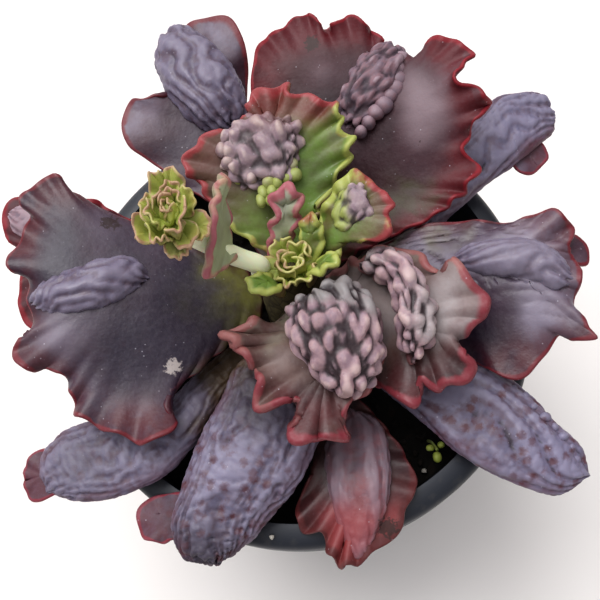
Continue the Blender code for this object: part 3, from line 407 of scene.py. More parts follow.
# Flower stalk
STALK_ROUTE = [(-8.5, 1, 40.5), (-15, 2.5, 46.5), (-20.5, 2, 58), (-24, 2, 66), (-25, 2, 72)]
STALK_RADIUS = 2.8
STALK_ROOT = (163, 32, STALK_RADIUS)
HEAD_CENTRE = (-25.5, 1.5, 74)
HEAD_NARROW = 0.74       # the head is narrower from left to right than from front to back
STALK_MESH = (28, 60)    # points round the stalk and rings along it
BRACT_THICK = 1.2
CLASP_THICK = 1.6
BRACT_MARGIN = [(0.2, -0.12, 0), (0.6, -0.34, 0), (0.88, -0.28, 0.16), (1, 0, 0.04),
                (0.88, 0.28, 0.16), (0.6, 0.34, 0), (0.2, 0.12, 0)]
BRACT_MIDRIB = [(0.2, 0, 0), (0.5, 0, -0.12), (0.7, 0, -0.1)]
CLASPING_BRACT = {
    "midrib": [(-15, 3, 49), (-16, 4, 55), (-16, 5, 60)],
    "margin": [(-14, 1, 48), (-18, -4, 52), (-21, -8, 58), (-19, -4, 62), (-17, 1, 64),
               (-15.5, 8, 66), (-13, 15, 67), (-12.5, 16, 63), (-13.5, 11, 57), (-15, 5, 49)],
}
# Whorls of the head: number of bracts, their length, rise and first azimuth in degrees
HEAD_WHORLS = [(4, 12.5, -10, 80), (5, 11.0, 14, 20), (5, 9.5, 40, 60), (4, 7.5, 62, 10)]
# Buds that close the head: how many, the turn in radians and the spread from one to the next,
# the first one's height over the head's middle, the fall to each next one, radius and redness
BUDS = 9
BUD_TURN = 2.4
BUD_SPREAD = 0.9
BUD_RISE = 4
BUD_FALL = 0.2
BUD_RADIUS = 1.5
BUD_RED = 0.2
# Tuft of unopened leaves on the growing point: its middle, and whorls as in the head
TUFT_CENTRE = (1, 0, 35)
TUFT_WHORLS = [(5, 9.5, 26, 100), (4, 8.0, 48, 60), (4, 6.0, 68, 20)]
TUFT_RED = 0.7           # the tuft is less red than the head by this

# Seedling in the potting mix, and white grains of perlite with their sizes
SPROUT_ROUTE = [(33.6, -46.4, -15), (34.0, -48.5, -9), (34.7, -51.6, -6)]
SPROUT_RADIUS = 0.5
SPROUT_MESH = (12, 16)
SPROUT_LEAVES = [((34.1, -53.7, -6), 1.5), ((32.6, -50.6, -5.5), 1.1), ((36.2, -50.2, -6), 1.2)]
PERLITE = [((-19.7, -69.2, 4.4), 0.8), ((44.4, 18.8, -12.4), 1.3), ((30, -56, -13.2), 0.9),
           ((52, 20, -13.4), 0.8), ((8, 57, -13), 1.1), ((-52, 36, -13), 1.0)]

# Fine finish of each leaf. skin: its column in SKIN_TABLE. ruffle: wavelength and height of the
# margin's waves; teeth: how far they also push it in and out, as a share of that height. bead:
# how much the rolled margin swells. folds and wrinkles: length, width and height of those on a
# swelling; wander: how far they stray from its axis; fold_axis: the way that the folds lie where
# that isn't the axis. creased: wrinkles on the blade beside a line, given by the line's two ends
# seen from above, how far they reach from it, and their length and width. fresh and ripe: where
# the leaf is greenest and reddest, seen from above. flush: how far the red spreads from the
# margin. dark: how dark the flesh. marks: how dark its wine-red marks are.
USUAL_FINISH = {"teeth": 0.45, "wander": 0.45, "wrinkles": (3.2, 3.2, 0.12), "flush": 0.5,
                "dark": 0.3, "marks": 0.1}
FINISH = {
    "leaf_back_left": {
        "skin": "purple", "ruffle": (16, 0.9), "bead": 0.0, "folds": (18, 5.4, 2.0),
        "wrinkles": (2.4, 3.0, 0.5), "wander": 0.6, "fresh": (-5, 40), "ripe": (-40, 58),
        "flush": 0.4, "dark": 0.0,
    },
    "leaf_back": {
        "skin": "wine", "ruffle": (9, 2.1), "bead": 0.05, "teeth": 0.6, "folds": (6.4, 3.2, 2.4),
        "wrinkles": (3, 1.8, 0.45), "wander": 0.6, "fresh": (8, 26), "ripe": (24, 96), "flush": 0.7,
        "dark": 0.4,
    },
    "leaf_left": {
        "skin": "purple", "ruffle": (12, 1.7), "bead": 0.0, "folds": (15, 5.4, 2.8),
        "wrinkles": (4, 2.2, 0.4), "wander": 1.0, "fresh": (-14, 0), "ripe": (-90, 10),
        "flush": 0.6, "dark": 0.8,
    },
    "leaf_right": {
        "skin": "purple", "ruffle": (15, 1.8), "bead": 0.0, "folds": (18, 4.0, 2.1),
        "wrinkles": (2.4, 3.4, 0.35), "wander": 0.7, "creased": ((36, 2), (82, -14), 13, (18, 3.2)),
        "fresh": (22, 6), "ripe": (90, -18), "flush": 0.5, "dark": 0.1,
    },
    "leaf_low_left": {
        "skin": "wine", "ruffle": (9, 0.9), "bead": 0.0, "folds": (9, 3.0, 1.4),
        "wrinkles": (2.2, 2.6, 0.4), "fresh": (-24, 8), "ripe": (-90, 40), "flush": 0.8, "dark": 0.4,
    },
    "leaf_front": {
        "skin": "red", "ruffle": (9, 1.6), "bead": -0.1, "folds": (40, 10, 0.8),
        "wrinkles": (7, 2.0, 0.5), "wander": 0.5, "fresh": (3, -26), "ripe": (10, -78),
        "flush": 0.2, "dark": 0.5,
    },
    "leaf_upper_back": {
        "skin": "green", "ruffle": (8, 2.0), "bead": 0.3, "teeth": 0.9, "folds": (5.6, 3.2, 3.2),
        "wander": 0.3, "fold_axis": (-0.25, 1, 0.25), "fresh": (16, 24), "ripe": (-14, 42),
        "flush": 0.1, "dark": 0.4,
    },
    "leaf_low_centre": {
        "skin": "rolled", "ruffle": (12, 3.0), "bead": 0.75, "teeth": 0.9, "folds": (7.5, 3.9, 3.2),
        "wander": 0.5, "fresh": (2, -12), "ripe": (2, -52), "flush": 0.6, "dark": 0.4,
    },
    "leaf_low_right": {
        "skin": "rolled", "ruffle": (12, 3.0), "bead": 0.75, "teeth": 0.9, "folds": (5.4, 3.8, 3.2),
        "wander": 0.35, "fresh": (26, 4), "ripe": (40, -44), "flush": 0.4, "dark": 0.2,
    },
    "leaf_heart_right": {
        "skin": "green", "ruffle": (7, 2.6), "bead": 0.25, "folds": (3.8, 3.2, 2.0), "wander": 0.6,
        "fresh": (16, 10), "ripe": (36, 8), "flush": 0.4, "dark": 0.0,
    },
    "leaf_heart_back": {
        "skin": "clasp", "ruffle": (6, 2.4), "bead": 0.4, "teeth": 0.8, "fresh": (8, 10),
        "ripe": (-3, 19), "flush": 0.1, "dark": 0.1,
    },
    "leaf_heart_front": {
        "skin": "green", "ruffle": (5, 1.4), "bead": 0.2, "fresh": (7, 3), "ripe": (9, 22),
        "flush": 0.3, "dark": 0.0,
    },
    "leaf_heart_low": {
        "skin": "green", "ruffle": (5, 1.4), "bead": 0.2, "fresh": (7, -3), "ripe": (26, -12),
        "flush": 0.2, "dark": 0.0,
    },
    "leaf_heart_left": {
        "skin": "green", "ruffle": (5, 1.4), "bead": 0.2, "fresh": (-5, -5), "ripe": (-26, -16),
        "flush": 0.2, "dark": 0.0,
    },
    "leaf_front_right": {
        "skin": "grey", "folds": (30, 8.0, 2.0), "wrinkles": (2.8, 2.2, 0.5), "wander": 0.35,
        "fresh": (20, -14), "ripe": (74, -66), "marks": 1.0,
    },
    "leaf_front_left": {
        "skin": "grey", "folds": (16, 4.0, 2.5), "wrinkles": (3.0, 2.2, 0.8), "wander": 0.6,
        "fresh": (-10, -22), "ripe": (-38, -73), "marks": 1.0,
    },
    "leaf_left_front": {
        "skin": "grey", "folds": (14, 4.6, 1.7), "wrinkles": (2.6, 3.0, 0.5), "wander": 0.7,
        "fresh": (-20, -16), "ripe": (-86, -40), "marks": 0.4,
    },
    "leaf_right_back": {
        "skin": "grey", "folds": (16, 5.0, 2.2), "wrinkles": (2.6, 2.6, 0.4), "wander": 0.5,
        "fresh": (24, 12), "ripe": (98, 52),
    },
}
TIP_FINISH = {**USUAL_FINISH, "ruffle": (7, 1.1), "bead": 0.0}
TIP_THICK = 2.0
CLASP_FINISH = {**USUAL_FINISH, "ruffle": (6, 1.6), "bead": 0.5}

# Folds, wrinkles and warts
CURL_REACH = 0.3         # a wave of the margin dies away over this share of its length
CREASE_DEPTH = 1.4       # of the wrinkles beside a line on a blade
CREASE_WANDER = 0.6
LONG_FOLD = 2.6          # a fold this many times longer than it is wide is a ridge
RIDGE_ROUND = 0.5        # power that rounds a ridge: a half circle at 0.5, a wave at 1
FOLD_GROUPS = 5          # neighbouring short folds fuse where they draw the same one of these
FOLD_EDGE = 0.62         # part of a fold's width over which it rounds up from its furrow
FOLD_ROUND = 0.85        # power that rounds it: steep sides at 0.5, a soft hump at 1
FOLD_DOME = 0.35         # how much a fold falls away from the middle of each of its cells
FOLD_BEND = 2.4          # size, in widths, of the noise that makes short folds wander
FOLD_MIDDLE = 0.6        # height of a fold that neither swells nor sinks the body
WRINKLE_MIDDLE = 0.8     # the same of a wrinkle
WRINKLE_BEND = (0.7, 3.5)        # how far wrinkles stray, and the size of the noise that does it
WART_SHARE = 0.22        # share of the solids' coarse warts that the fine body keeps
WART_MIDDLE = 0.4
FURROW_SLOPE = 2.2       # how steeply a wart falls to its furrow
WART_EASE = 6            # times that warts are softened,
FOLD_EASE = 1            # and folds
LUMPINESS = [(5.0, 0.25, 28), (1.2, 0.04, 27)]   # other lumps: size, height and seed
SIDE_ROUND = 0.8         # power that squares a swelling's section a little
SMOOTH_ROOT = 0.6        # part of the fading length next to a root that has no folds
FLANK_CALM = 0.55        # how much lower the relief is at a tongue's sides
TONGUE_RIM = 0.8         # a tongue has no sharp edge, so it has no red line of its own
FAR = 9.0                # farther than any neighbouring cell, in cells

# Round berries and beads that stand on a leaf: where, their radius and how red they are
BERRIES = {
    "leaf_upper_back": [
        (-9.9, 30.9, 40.2, 2.3, 0.0), (4.0, 29.5, 42.2, 1.9, 0.1), (6.5, 30.3, 42.5, 1.8, 0.1),
        (6.7, 27.1, 41.4, 1.9, 0.0), (4.2, 26.2, 41.6, 1.9, 0.0), (1.3, 25.1, 41.4, 2.0, 0.0),
        (-1.0, 25.9, 41.2, 1.9, 0.05), (-3.3, 23.9, 40.4, 2.0, 0.0), (-4.3, 21.3, 39.7, 1.9, 0.0),
        (-1.4, 20.9, 39.9, 2.0, 0.0), (1.9, 22.3, 40.5, 1.9, 0.0), (-6.0, 28.5, 41.6, 2.0, 0.3),
        (-12.0, 33.5, 44, 2.1, 0.6), (-13.0, 37.5, 45.2, 2.2, 0.8), (-0.6, 23.2, 41.0, 1.6, 0.0),
        (2.8, 27.8, 42.4, 1.6, 0.1)],
    "leaf_back": [
        (48.0, 68.6, 34.4, 2.3, 0.9), (47.0, 65.4, 34.8, 3.0, 0.9), (46.0, 62.2, 34.8, 2.6, 1.0),
        (45.0, 58.6, 34.6, 3.3, 1.0), (43.0, 55.6, 34.4, 2.9, 1.0), (41.2, 53.2, 34.4, 2.5, 1.0),
        (38.6, 50.6, 33.6, 3.3, 0.9), (35.8, 48.8, 33.2, 2.5, 0.8), (33.0, 46.2, 32.0, 2.7, 0.8),
        (30.2, 44.0, 30.8, 2.1, 0.7)],
    "leaf_front_right": [
        (58.0, -41.6, 13.2, 1.3, 0.9), (61.0, -44.6, 12.8, 1.5, 0.9), (62.4, -48.0, 13.0, 1.3, 0.9),
        (64.8, -51.6, 12.4, 1.6, 1.0), (67.0, -54.8, 11.6, 1.3, 1.0), (68.6, -57.8, 11.0, 1.6, 1.0),
        (70.4, -61.0, 10.0, 1.3, 1.0), (70.8, -64.4, 9.2, 1.4, 1.0)],
}
# Patches of painted highlight, partly thick wax, above 0, and of painted shade below 0:
# place, radius and how much
WAX_AND_PAINTED_LIGHT_PATCHES = {
    "leaf_left": [
        (-55, 29, 31, 9, 0.35), (-30, -6, 20, 15, -0.9), (-30, 9, 22, 9, -0.4),
        (-72, -4, 30, 7, 0.6), (-60, -3, 27, 8, 0.3), (-64, -19, 24, 8, 0.4),
        (-51, -31, 24, 7, 0.6), (-62, 9, 36, 13, 0.2), (-74, 24, 33, 12, -0.9),
        (-52, -14, 25, 10, -0.5), (-41, 20, 26, 9, 0.1)],
    "leaf_back_left": [
        (-10, 93, 36, 7, 0.4), (-4, 87, 32, 8, 0.1), (-1, 78, 27, 7, -0.6), (-37, 69, 29, 9, 0.45),
        (-36, 53, 24, 8, -0.8), (-24, 59, 27, 7, -0.3)],
    "leaf_back": [
        (21, 68, 33, 5, 0.5), (50, 55, 37, 6, 0.6), (51, 46, 37, 7, 0.8), (46, 38, 34, 7, 0.5),
        (63, 56, 42, 4, 0.7), (62, 45, 40, 8, 0.7), (54, 20, 30, 7, -0.7), (42, 18, 27, 6, 0.4),
        (33, 28, 25, 8, -0.7), (5, 74, 34, 13, -1.0), (33, 80, 40, 10, -0.9), (22, 56, 31, 8, -0.5),
        (38, 42, 30, 7, -0.5)],
    "leaf_right": [
        (60, -6, 34, 11, 0.4), (72, -12, 34, 11, 0.4), (46, 8, 23, 11, 0.4), (77, -1, 32, 9, 0.5),
        (67, -26, 25, 10, 0.9), (60, -21, 26, 7, -0.3), (57, -35, 24, 8, -0.8),
        (48, -28, 19, 8, -1.0)],
    "leaf_low_centre": [
        (-8, -30, 35, 7, 0.4), (4, -45, 32, 4, 0.7), (-3, -42, 34, 9, -0.8), (-14, -17, 38, 6, 0.3)],
    "leaf_low_right": [
        (38, -19, 41, 8, 0.8), (35, -27, 39, 5, 0.9), (26, -38, 27, 8, -0.9), (39, -39, 30, 7, -0.6)],
    "leaf_upper_back": [
        (8, 46, 47, 5, 0.9), (19, 43, 48, 6, -0.6), (21, 36, 44, 4, 0.4), (14, 27, 40, 9, -0.5),
        (-20, 38, 46, 7, 0.4)],
    "leaf_front_left": [
        (-16, -32, 22, 14, -1.0), (-43, -76, 12, 18, -1.0), (-30, -50, 20, 10, 0.4)],
    "leaf_left_front": [(-34, -24, 11, 12, -0.5), (-72, -38, 13, 14, -0.6)],
    "leaf_front_right": [(30, -38, 14, 8, -0.4), (66, -62, 13, 14, 0.45), (52, -40, 16, 10, -0.2)],
    "leaf_right_back": [(68, 34, 16, 7, 0.1), (84, 44, 18, 14, 0.4)],
    "leaf_front": [(-1, -49, 8, 10, -0.5), (-9, -64, 6, 6, -0.8), (2, -63, 11, 5, 0.5)],
}
# Where the red spreads in from the margin: place, radius and how much
BLUSHES = {
    "leaf_left": [(-80, 30, 34, 9, 0.5), (-51, -33, 24, 8, 0.5), (-62, 38, 32, 8, 0.3)],
    "leaf_back": [
        (4, 72, 34, 15, 0.5), (33, 82, 40, 12, 0.7), (16, 88, 36, 11, 0.5), (62, 42, 38, 7, 0.5),
        (56, 22, 30, 9, 0.5), (44, 10, 27, 8, 0.4), (61, 60, 42, 6, 0.6), (33, 28, 25, 9, 0.3)],
    "leaf_right": [(57, -37, 24, 8, 0.4), (82, 0, 32, 6, 0.4)],
    "leaf_upper_back": [(4, 51, 47, 10, 1.0), (17, 45, 48, 7, 0.8), (-20, 38, 46, 8, 0.5)],
    "leaf_front": [
        (1, -78, 9, 9, 0.5), (15, -71, 8, 6, 0.5), (4, -70, 13, 7, 0.8), (9, -60, 11, 4, 0.4),
        (-2, -66, 10, 4, 0.4)],
    "leaf_low_right": [(26, -38, 27, 9, 0.5)],
    "leaf_low_centre": [(-2, -44, 33, 8, 0.5)],
    "leaf_front_left": [(-53, -58, 5, 8, 0.4)],
    "leaf_left_front": [(-89, -39, 5, 7, 0.6)],
    "leaf_right_back": [(89, 36, 9, 7, 0.9)],
}
# Scars: leaf, place and radius; brown ones are corky, pale ones are dried sap
BROWN_SCARS = [("leaf_left", (-52.2, 29.6, 27), 4.5), ("leaf_back", (21, 78, 35), 4.0),
               ("leaf_back", (47, 36, 27), 2.6), ("leaf_front", (14, -73, 8), 4.5)]
PALE_SCARS = [("leaf_left", (-39.3, -17.8, 24), 4.4)]
SCAR_DEPTH = 0.4         # how much of its height off the scar counts as distance from it


def curve_through(points):
    """Smooth curve through points: returns a function of the fraction of its length."""
    p = np.array(points, float)
    p = np.vstack([2 * p[0] - p[1], p, 2 * p[-1] - p[-2]])
    t = np.linspace(0, 1, 24, endpoint=False)[:, None]
    pieces = []
    for a, b, c, d in zip(p, p[1:], p[2:], p[3:]):
        pieces.append(b + 0.5 * ((c - a) * t + (2 * a - 5 * b + 4 * c - d) * t ** 2
                                 + (3 * b - a - 3 * c + d) * t ** 3))
    fine = np.vstack(pieces + [p[-2]])
    run = np.r_[0, np.cumsum(np.linalg.norm(np.diff(fine, axis=0), axis=1))]

    def at(fraction):
        where = np.asarray(fraction) * run[-1]
        return np.stack([np.interp(where, run, fine[:, k]) for k in range(3)], axis=-1)

    at.length = run[-1]
    return at


def stem_radius(height):
    """Radius of the stem at a height above the rim."""
    heights, radii = zip(*STEM_PROFILE)
    return float(np.interp(height, heights, radii))


def root_points(root, half_thick, toward=None):
    """Middle, left and right of a root that sits against the stem."""
    azimuth, height, half_wide = root
    angle = math.radians(azimuth)
    out = np.array([math.cos(angle), math.sin(angle), 0])
    side = np.array([-math.sin(angle), math.cos(angle), 0])
    up = np.array([0, 0, 1])
    slope = 0.0
    if toward is not None:
        way = np.array(toward) - (out * stem_radius(height) + up * height)
        slope = way[2] / np.linalg.norm(way)
    level = math.sqrt(1 - slope ** 2)
    reach = max(stem_radius(height + edge * half_thick * level) + edge * half_thick * slope
                for edge in (-1, 0, 1))
    middle = out * (reach + ROOT_SEAT) + up * height
    return middle, middle + side * half_wide, middle - side * half_wide


def nearer_first(margin, one, other):
    """Two points, the one nearer to the start of a margin first."""
    start = np.array(margin[0])
    if np.linalg.norm(start - one) < np.linalg.norm(start - other):
        return one, other
    return other, one


def smoothed(points, step, width):
    """Points of an open line averaged over a bell of this width; the ends stay."""
    reach = int(3 * width / step)
    bell = np.exp(-0.5 * (np.arange(-reach, reach + 1) * step / width) ** 2)
    bell /= bell.sum()
    padded = np.pad(points, ((reach, reach), (0, 0)), mode="reflect", reflect_type="odd")
    return np.stack([np.convolve(padded[:, k], bell, "valid") for k in range(3)], axis=-1)


def cloud(points, size, seed):
    """Smooth noise from -1 to 1 with lumps of this size."""
    local = np.asarray(points, float) / size
    cell = np.floor(local).astype(int)
    part = local - cell
    ease = part * part * (3 - 2 * part)
    table = np.random.RandomState(seed).rand(32, 32, 32) * 2 - 1
    total = np.zeros(len(local))
    for step in np.ndindex(2, 2, 2):
        corner = (cell + np.array(step)) % 32
        share = np.prod(np.where(np.array(step) == 1, ease, 1 - ease), axis=1)
        total += share * table[tuple(corner.T)]
    return total


def along_frame(axis, size):
    """Matrix that takes millimetres to cells of this length and width along an axis."""
    length, width = size
    axis = axis / np.linalg.norm(axis)
    side = np.cross((0, 0, 1), axis)
    side /= np.linalg.norm(side)
    return np.stack([axis / length, side / width, np.cross(axis, side) / width], axis=1)


def warts(points, axis, size, seed):
    """Height, 0 in the furrows to 1 on the crests, of warts that lie along an axis."""
    local = points @ along_frame(axis, size)
    cell = np.floor(local).astype(int)
    table = np.random.RandomState(seed).rand(32, 32, 32, 3)
    gaps = []
    for step in np.ndindex(3, 3, 3):
        corner = cell + np.array(step) - 1
        spot = corner + table[tuple((corner % 32).T)]
        gaps.append(np.linalg.norm(local - spot, axis=1))
    gaps = np.sort(np.array(gaps), axis=0)
    return np.clip(FURROW_SLOPE * (gaps[1] - gaps[0]), 0, 1)


def worms(points, axis, size, seed):
    """0 in the furrows to 1 on top of rounded folds, which are cells that have partly fused."""
    local = points @ along_frame(axis, size)
    cell = np.floor(local).astype(int)
    rng = np.random.RandomState(seed)
    table, groups = rng.rand(32, 32, 32, 3), rng.randint(0, FOLD_GROUPS, (32, 32, 32))
    gaps, group = [], []
    for step in np.ndindex(3, 3, 3):
        corner = cell + np.array(step) - 1
        where = tuple((corner % 32).T)
        gaps.append(np.linalg.norm(local - corner - table[where], axis=1))
        group.append(groups[where])
    gaps, group = np.array(gaps), np.array(group)
    nearest = np.argmin(gaps, axis=0)[None]
    own = np.take_along_axis(group, nearest, 0)
    other = np.where(group == own, FAR, gaps).min(axis=0)
    inner = gaps.min(axis=0)
    edge = np.clip((other - inner) / FOLD_EDGE, 0, 1)
    side = (1 - (1 - edge) ** 2) ** FOLD_ROUND
    return side * (1 - FOLD_DOME * np.minimum(inner, 1) ** 2)


def ridges(along, across, size, wander, seed):
    """0 in long wandering furrows to 1 on the rounded ridges between them; both ways in mm."""
    length, width = size
    spots = np.stack([along / length, across / (2.2 * width), np.zeros(len(along))], axis=1)
    bend = wander * width * (2.4 * cloud(spots, 1.0, seed) + 0.8 * cloud(2.7 * spots, 1.0, seed + 1))
    line = np.abs(np.sin(np.pi * (across + bend) / width)) ** RIDGE_ROUND
    depth = np.clip(0.75 + 0.6 * cloud(1.6 * spots, 1.0, seed + 2), 0.15, 1)
    return 1 - depth * (1 - line)


def creased(points, start, stop, reach, size, seed):
    """Strength and height of long wrinkles beside a line on a blade, seen from above."""
    way = np.array(stop, float) - np.array(start, float)
    long = np.linalg.norm(way)
    way /= long
    local = points[:, :2] - np.array(start)
    run, across = local @ way, local @ np.array((-way[1], way[0]))
    beyond = np.maximum(0, np.maximum(-run, run - long))
    return (np.exp(-(across / reach) ** 2 - (beyond / reach) ** 2),
            ridges(run, across, size, CREASE_WANDER, seed))


def eased(heights, rows, around, times):
    """Heights of a swelling's points, softened round it and along it; its two ends are last."""
    grid = heights[:rows * around].reshape(rows, around)
    for _ in range(times):
        ahead = np.vstack([grid[1:], grid[-1:]])
        behind = np.vstack([grid[:1], grid[:-1]])
        grid = (2 * grid + ahead + behind + np.roll(grid, 1, 1) + np.roll(grid, -1, 1)) / 6
    return np.r_[grid.ravel(), grid[0].mean(), grid[-1].mean()]


def bent(points, reach, size, seed):
    """Points pushed about by noise, so that a pattern laid through them wanders."""
    push = np.stack([cloud(points, size, seed + k) for k in range(3)], axis=1)
    return points + reach * push


def unit(vectors):
    """Vectors brought to a length of 1, where they have any length."""
    return vectors / np.maximum(np.linalg.norm(vectors, axis=-1, keepdims=True), 1e-9)


def grid_normals(points, faces):
    """Directions straight out from a grid of quads, at its points."""
    corners = points[faces]
    across = np.cross(corners[:, 2] - corners[:, 0], corners[:, 3] - corners[:, 1])
    normals = np.zeros_like(points)
    for k in range(4):
        np.add.at(normals, faces[:, k], across)
    return unit(normals)


def fan_ends(calm, spine):
    """Fractions of the margin between which a blade fans out from the end of its midrib."""
    end = spine(1.0)
    ahead = (calm - end) @ (end - spine(TIP_AIM))
    tip = int(np.argmax(ahead))
    away = np.linalg.norm(calm - end, axis=1)
    return np.argmin(away[:tip]) / MARGIN_SAMPLES, (tip + np.argmin(away[tip:])) / MARGIN_SAMPLES


def blade_layout(margin, midrib, step):
    """A blade without thickness or relief, in rings round it and rays out from the midrib."""
    edge, spine = curve_through(margin), curve_through(midrib)
    fine = edge(np.linspace(0, 1, MARGIN_SAMPLES + 1))
    calm, slow = (smoothed(fine, edge.length / MARGIN_SAMPLES, min(width, edge.length / share))
                  for width, share in zip((MARGIN_SMOOTH, MARGIN_SLOW), SMALLEST_SHARES))
    first, last = fan_ends(calm, spine)
    side = max(FEWEST_RAYS, round(max(first, 1 - last) * edge.length / step))
    fan = max(FEWEST_RAYS, round((last - first) * edge.length / step))
    along = np.r_[np.linspace(0, first, side + 1)[:-1], np.linspace(first, last, fan + 1),
                  np.linspace(last, 1, side + 1)[1:]]
    rays = len(along)
    foot = np.minimum(np.minimum(np.arange(rays), side), rays - 1 - np.arange(rays))

    def sample(line):
        steps = np.arange(MARGIN_SAMPLES + 1)
        return np.stack([np.interp(along * MARGIN_SAMPLES, steps, line[:, k]) for k in range(3)],
                        axis=-1)

    base, calm_edge = spine(np.linspace(0, 1, side + 1))[foot], sample(slow)
    sway, lobe = sample(calm) - calm_edge, sample(fine) - sample(calm)
    sway[:, 2] *= SWAY_LIFT
    lobe[:, 2] *= LOBE_LIFT
    span = np.linalg.norm(calm_edge - base, axis=1)
    rings = max(FEWEST_RINGS, round(np.percentile(span, 80) / (step * RING_STEP)))
    out = 1 - (1 - np.linspace(0, 1, rings + 1)) ** RING_POWER
    share = out[:, None, None]
    body = (base[None] + (calm_edge - base)[None] * share
            + sway[None] * share ** SWAY_POWER + lobe[None] * share ** FINE_LOBE_POWER)
    grid = np.arange((rings + 1) * rays).reshape(rings + 1, rays)
    quads = np.stack([grid[:-1, :-1], grid[1:, :-1], grid[1:, 1:], grid[:-1, 1:]], axis=-1)
    return SimpleNamespace(body=body, quads=quads.reshape(-1, 4), foot=foot, rays=rays, rings=rings,
                           place=along * edge.length, length=edge.length, out=out, span=span,
                           gap=(1 - out)[:, None] * span[None])


def blade_normals(blade, body):
    """Directions up from a blade. The points of its fan's middle lie on each other, so they all
    take their mean direction."""
    normals = grid_normals(body.reshape(-1, 3), blade.quads).reshape(body.shape)
    for k in np.unique(blade.foot):
        shared = normals[0, blade.foot == k].mean(axis=0)
        normals[0, blade.foot == k] = shared / np.linalg.norm(shared)
    if normals[..., 2].mean() < 0:
        normals *= -1
    return normals


def blade_relief(blade, near_root, finish, seed):
    """How far a blade's points are lifted and how far its teeth push them out, and its crests."""
    # Waves of the margin, which die away inward
    wave, height = finish["ruffle"]
    place, shape = blade.place, blade.gap.shape
    spots = np.stack([place, np.zeros(blade.rays), np.zeros(blade.rays)], axis=1)
    swing = cloud(spots, wave * 1.6, seed + 11)
    strength = 0.55 + 0.45 * cloud(spots, wave * 2.3, seed + 12)
    ends = np.clip(np.minimum(place, blade.length - place) / WAVE_END, 0, 1)
    phase = 2 * np.pi * place / wave + 3.0 * swing
    ripple = height * strength * np.sin(phase) * ends
    teeth = finish["teeth"] * height * strength * np.cos(phase + 0.8) * ends
    lift = ripple[None] * np.exp(-blade.gap / (CURL_REACH * wave))
    push = teeth[None] * np.exp(-blade.gap / TEETH_REACH)

    # Slow swells, puckers, veins and wrinkles of the whole blade
    level, level_share = FREE_FROM
    free = np.clip(near_root / level - level_share, 0, 1)
    flat = blade.body.reshape(-1, 3)
    swell = cloud(flat, SWELLS[0], seed + 13).reshape(shape)
    pucker = cloud(flat, PUCKERS[0], seed + 14).reshape(shape)
    round_it, along_it = VEIN_SPREAD
    fan_place = np.stack([np.tile(place * round_it, blade.rings + 1),
                          np.repeat(blade.out * blade.span.mean() * along_it, blade.rays),
                          np.zeros(len(flat))], axis=1)
    veins = cloud(fan_place, VEINS[0], seed + 15).reshape(shape)
    veins = veins * np.clip(4 * blade.out * (1 - blade.out), 0, 1)[:, None]
    creases = 0
    if "creased" in finish:
        strength, folds = creased(flat, *finish["creased"], seed + 16)
        creases = (CREASE_DEPTH * strength * (folds - CREASE_LEVEL)).reshape(shape)
    lift = lift + free * (SWELLS[1] * swell + PUCKERS[1] * pucker + VEINS[1] * veins + creases)
    # The crest sets where the skin lays a paler bloom: partly wax, partly painted highlight on swells
    middle, swelled, puckered = CREST_SHARES
    crest = np.clip(middle + swelled * swell + puckered * pucker + VEINS[1] * veins + creases, 0, 1)
    return lift, push, crest


def rolled_shell(blade, body, half, crest):
    """Both faces of a blade, rolled round its margin: points, faces and what each point is."""
    normals = blade_normals(blade, body)
    outward = unit(body[-1] - body[-2])
    thick = half[..., None]
    rolls = []
    for angle in ROLL_ANGLES:
        a = math.radians(angle)
        roll = normals[-1] * math.cos(a) + outward * math.sin(a)
        rolls.append(body[-1] + roll * thick[-1])
    layers = np.concatenate([body + normals * thick, rolls, (body - normals * thick)[::-1]])

    total, rings, rays = len(layers), blade.rings, blade.rays
    index = np.arange(total * rays).reshape(total, rays)
    shared = np.unique(blade.foot, return_index=True)[1][blade.foot]
    index[0], index[-1] = index[0][shared], index[-1][shared]
    faces = []
    for low, high in zip(index, index[1:]):
        strip = np.stack([low[:-1], high[:-1], high[1:], low[1:]], axis=-1)
        faces += [tuple(dict.fromkeys(f)) for f in strip.tolist()]
    for column in (index[:, 0], index[:, -1][::-1]):
        for k in range(rings):
            faces.append((column[k], column[k + 1], column[-2 - k], column[-1 - k]))
        faces.append(tuple(column[rings:rings + 2 + len(rolls)]))

    rim = np.exp(-blade.gap / RED_REACH)
    under = [0.0] * (rings + 1) + [angle / 180 for angle in ROLL_ANGLES] + [1.0] * (rings + 1)
    looks = {
        "rim": np.vstack([rim, np.ones((len(rolls), rays)), rim[::-1]]).ravel(),
        "under": np.repeat(under, rays),
        "crest": np.vstack([crest, *[crest[-1]] * len(rolls), crest[::-1]]).ravel(),
        "wart": np.zeros(total * rays),
    }
    return layers.reshape(-1, 3), faces, looks


def fine_blade(margin, midrib, thick, root_thick, finish, seed, step=STEP):
    """Thin ruffled blade with a rolled margin: points, faces and what each point is."""
    blade = blade_layout(margin, midrib, step)
    near_root = np.linalg.norm(blade.body - np.array(midrib[0]), axis=-1)
    lift, push, crest = blade_relief(blade, near_root, finish, seed)
    reach = unit(blade.body[-1] - blade.body[-3])
    body = blade.body + blade_normals(blade, blade.body) * lift[..., None]
    body = body + reach[None] * push[..., None]
    # Full in the middle, thin towards the margin, with a bead that rolls round it
    half = 0.5 * (MARGIN_THICK + (thick - MARGIN_THICK) * (1 - blade.out[:, None] ** 2)
                  + (root_thick - thick) * np.exp(-near_root / ROOT_FADE))
    half = half + finish["bead"] * np.exp(-(blade.gap / BEAD_REACH) ** 2)
    return rolled_shell(blade, body, half, crest)


def ring_quads(rows, around):
    """Quads between closed rings of points, as numbers of the points."""
    index = np.arange(rows * around).reshape(rows, around)
    low, high = index[:-1], index[1:]
    return np.stack([low, np.roll(low, -1, 1), np.roll(high, -1, 1), high], axis=-1).reshape(-1, 4)


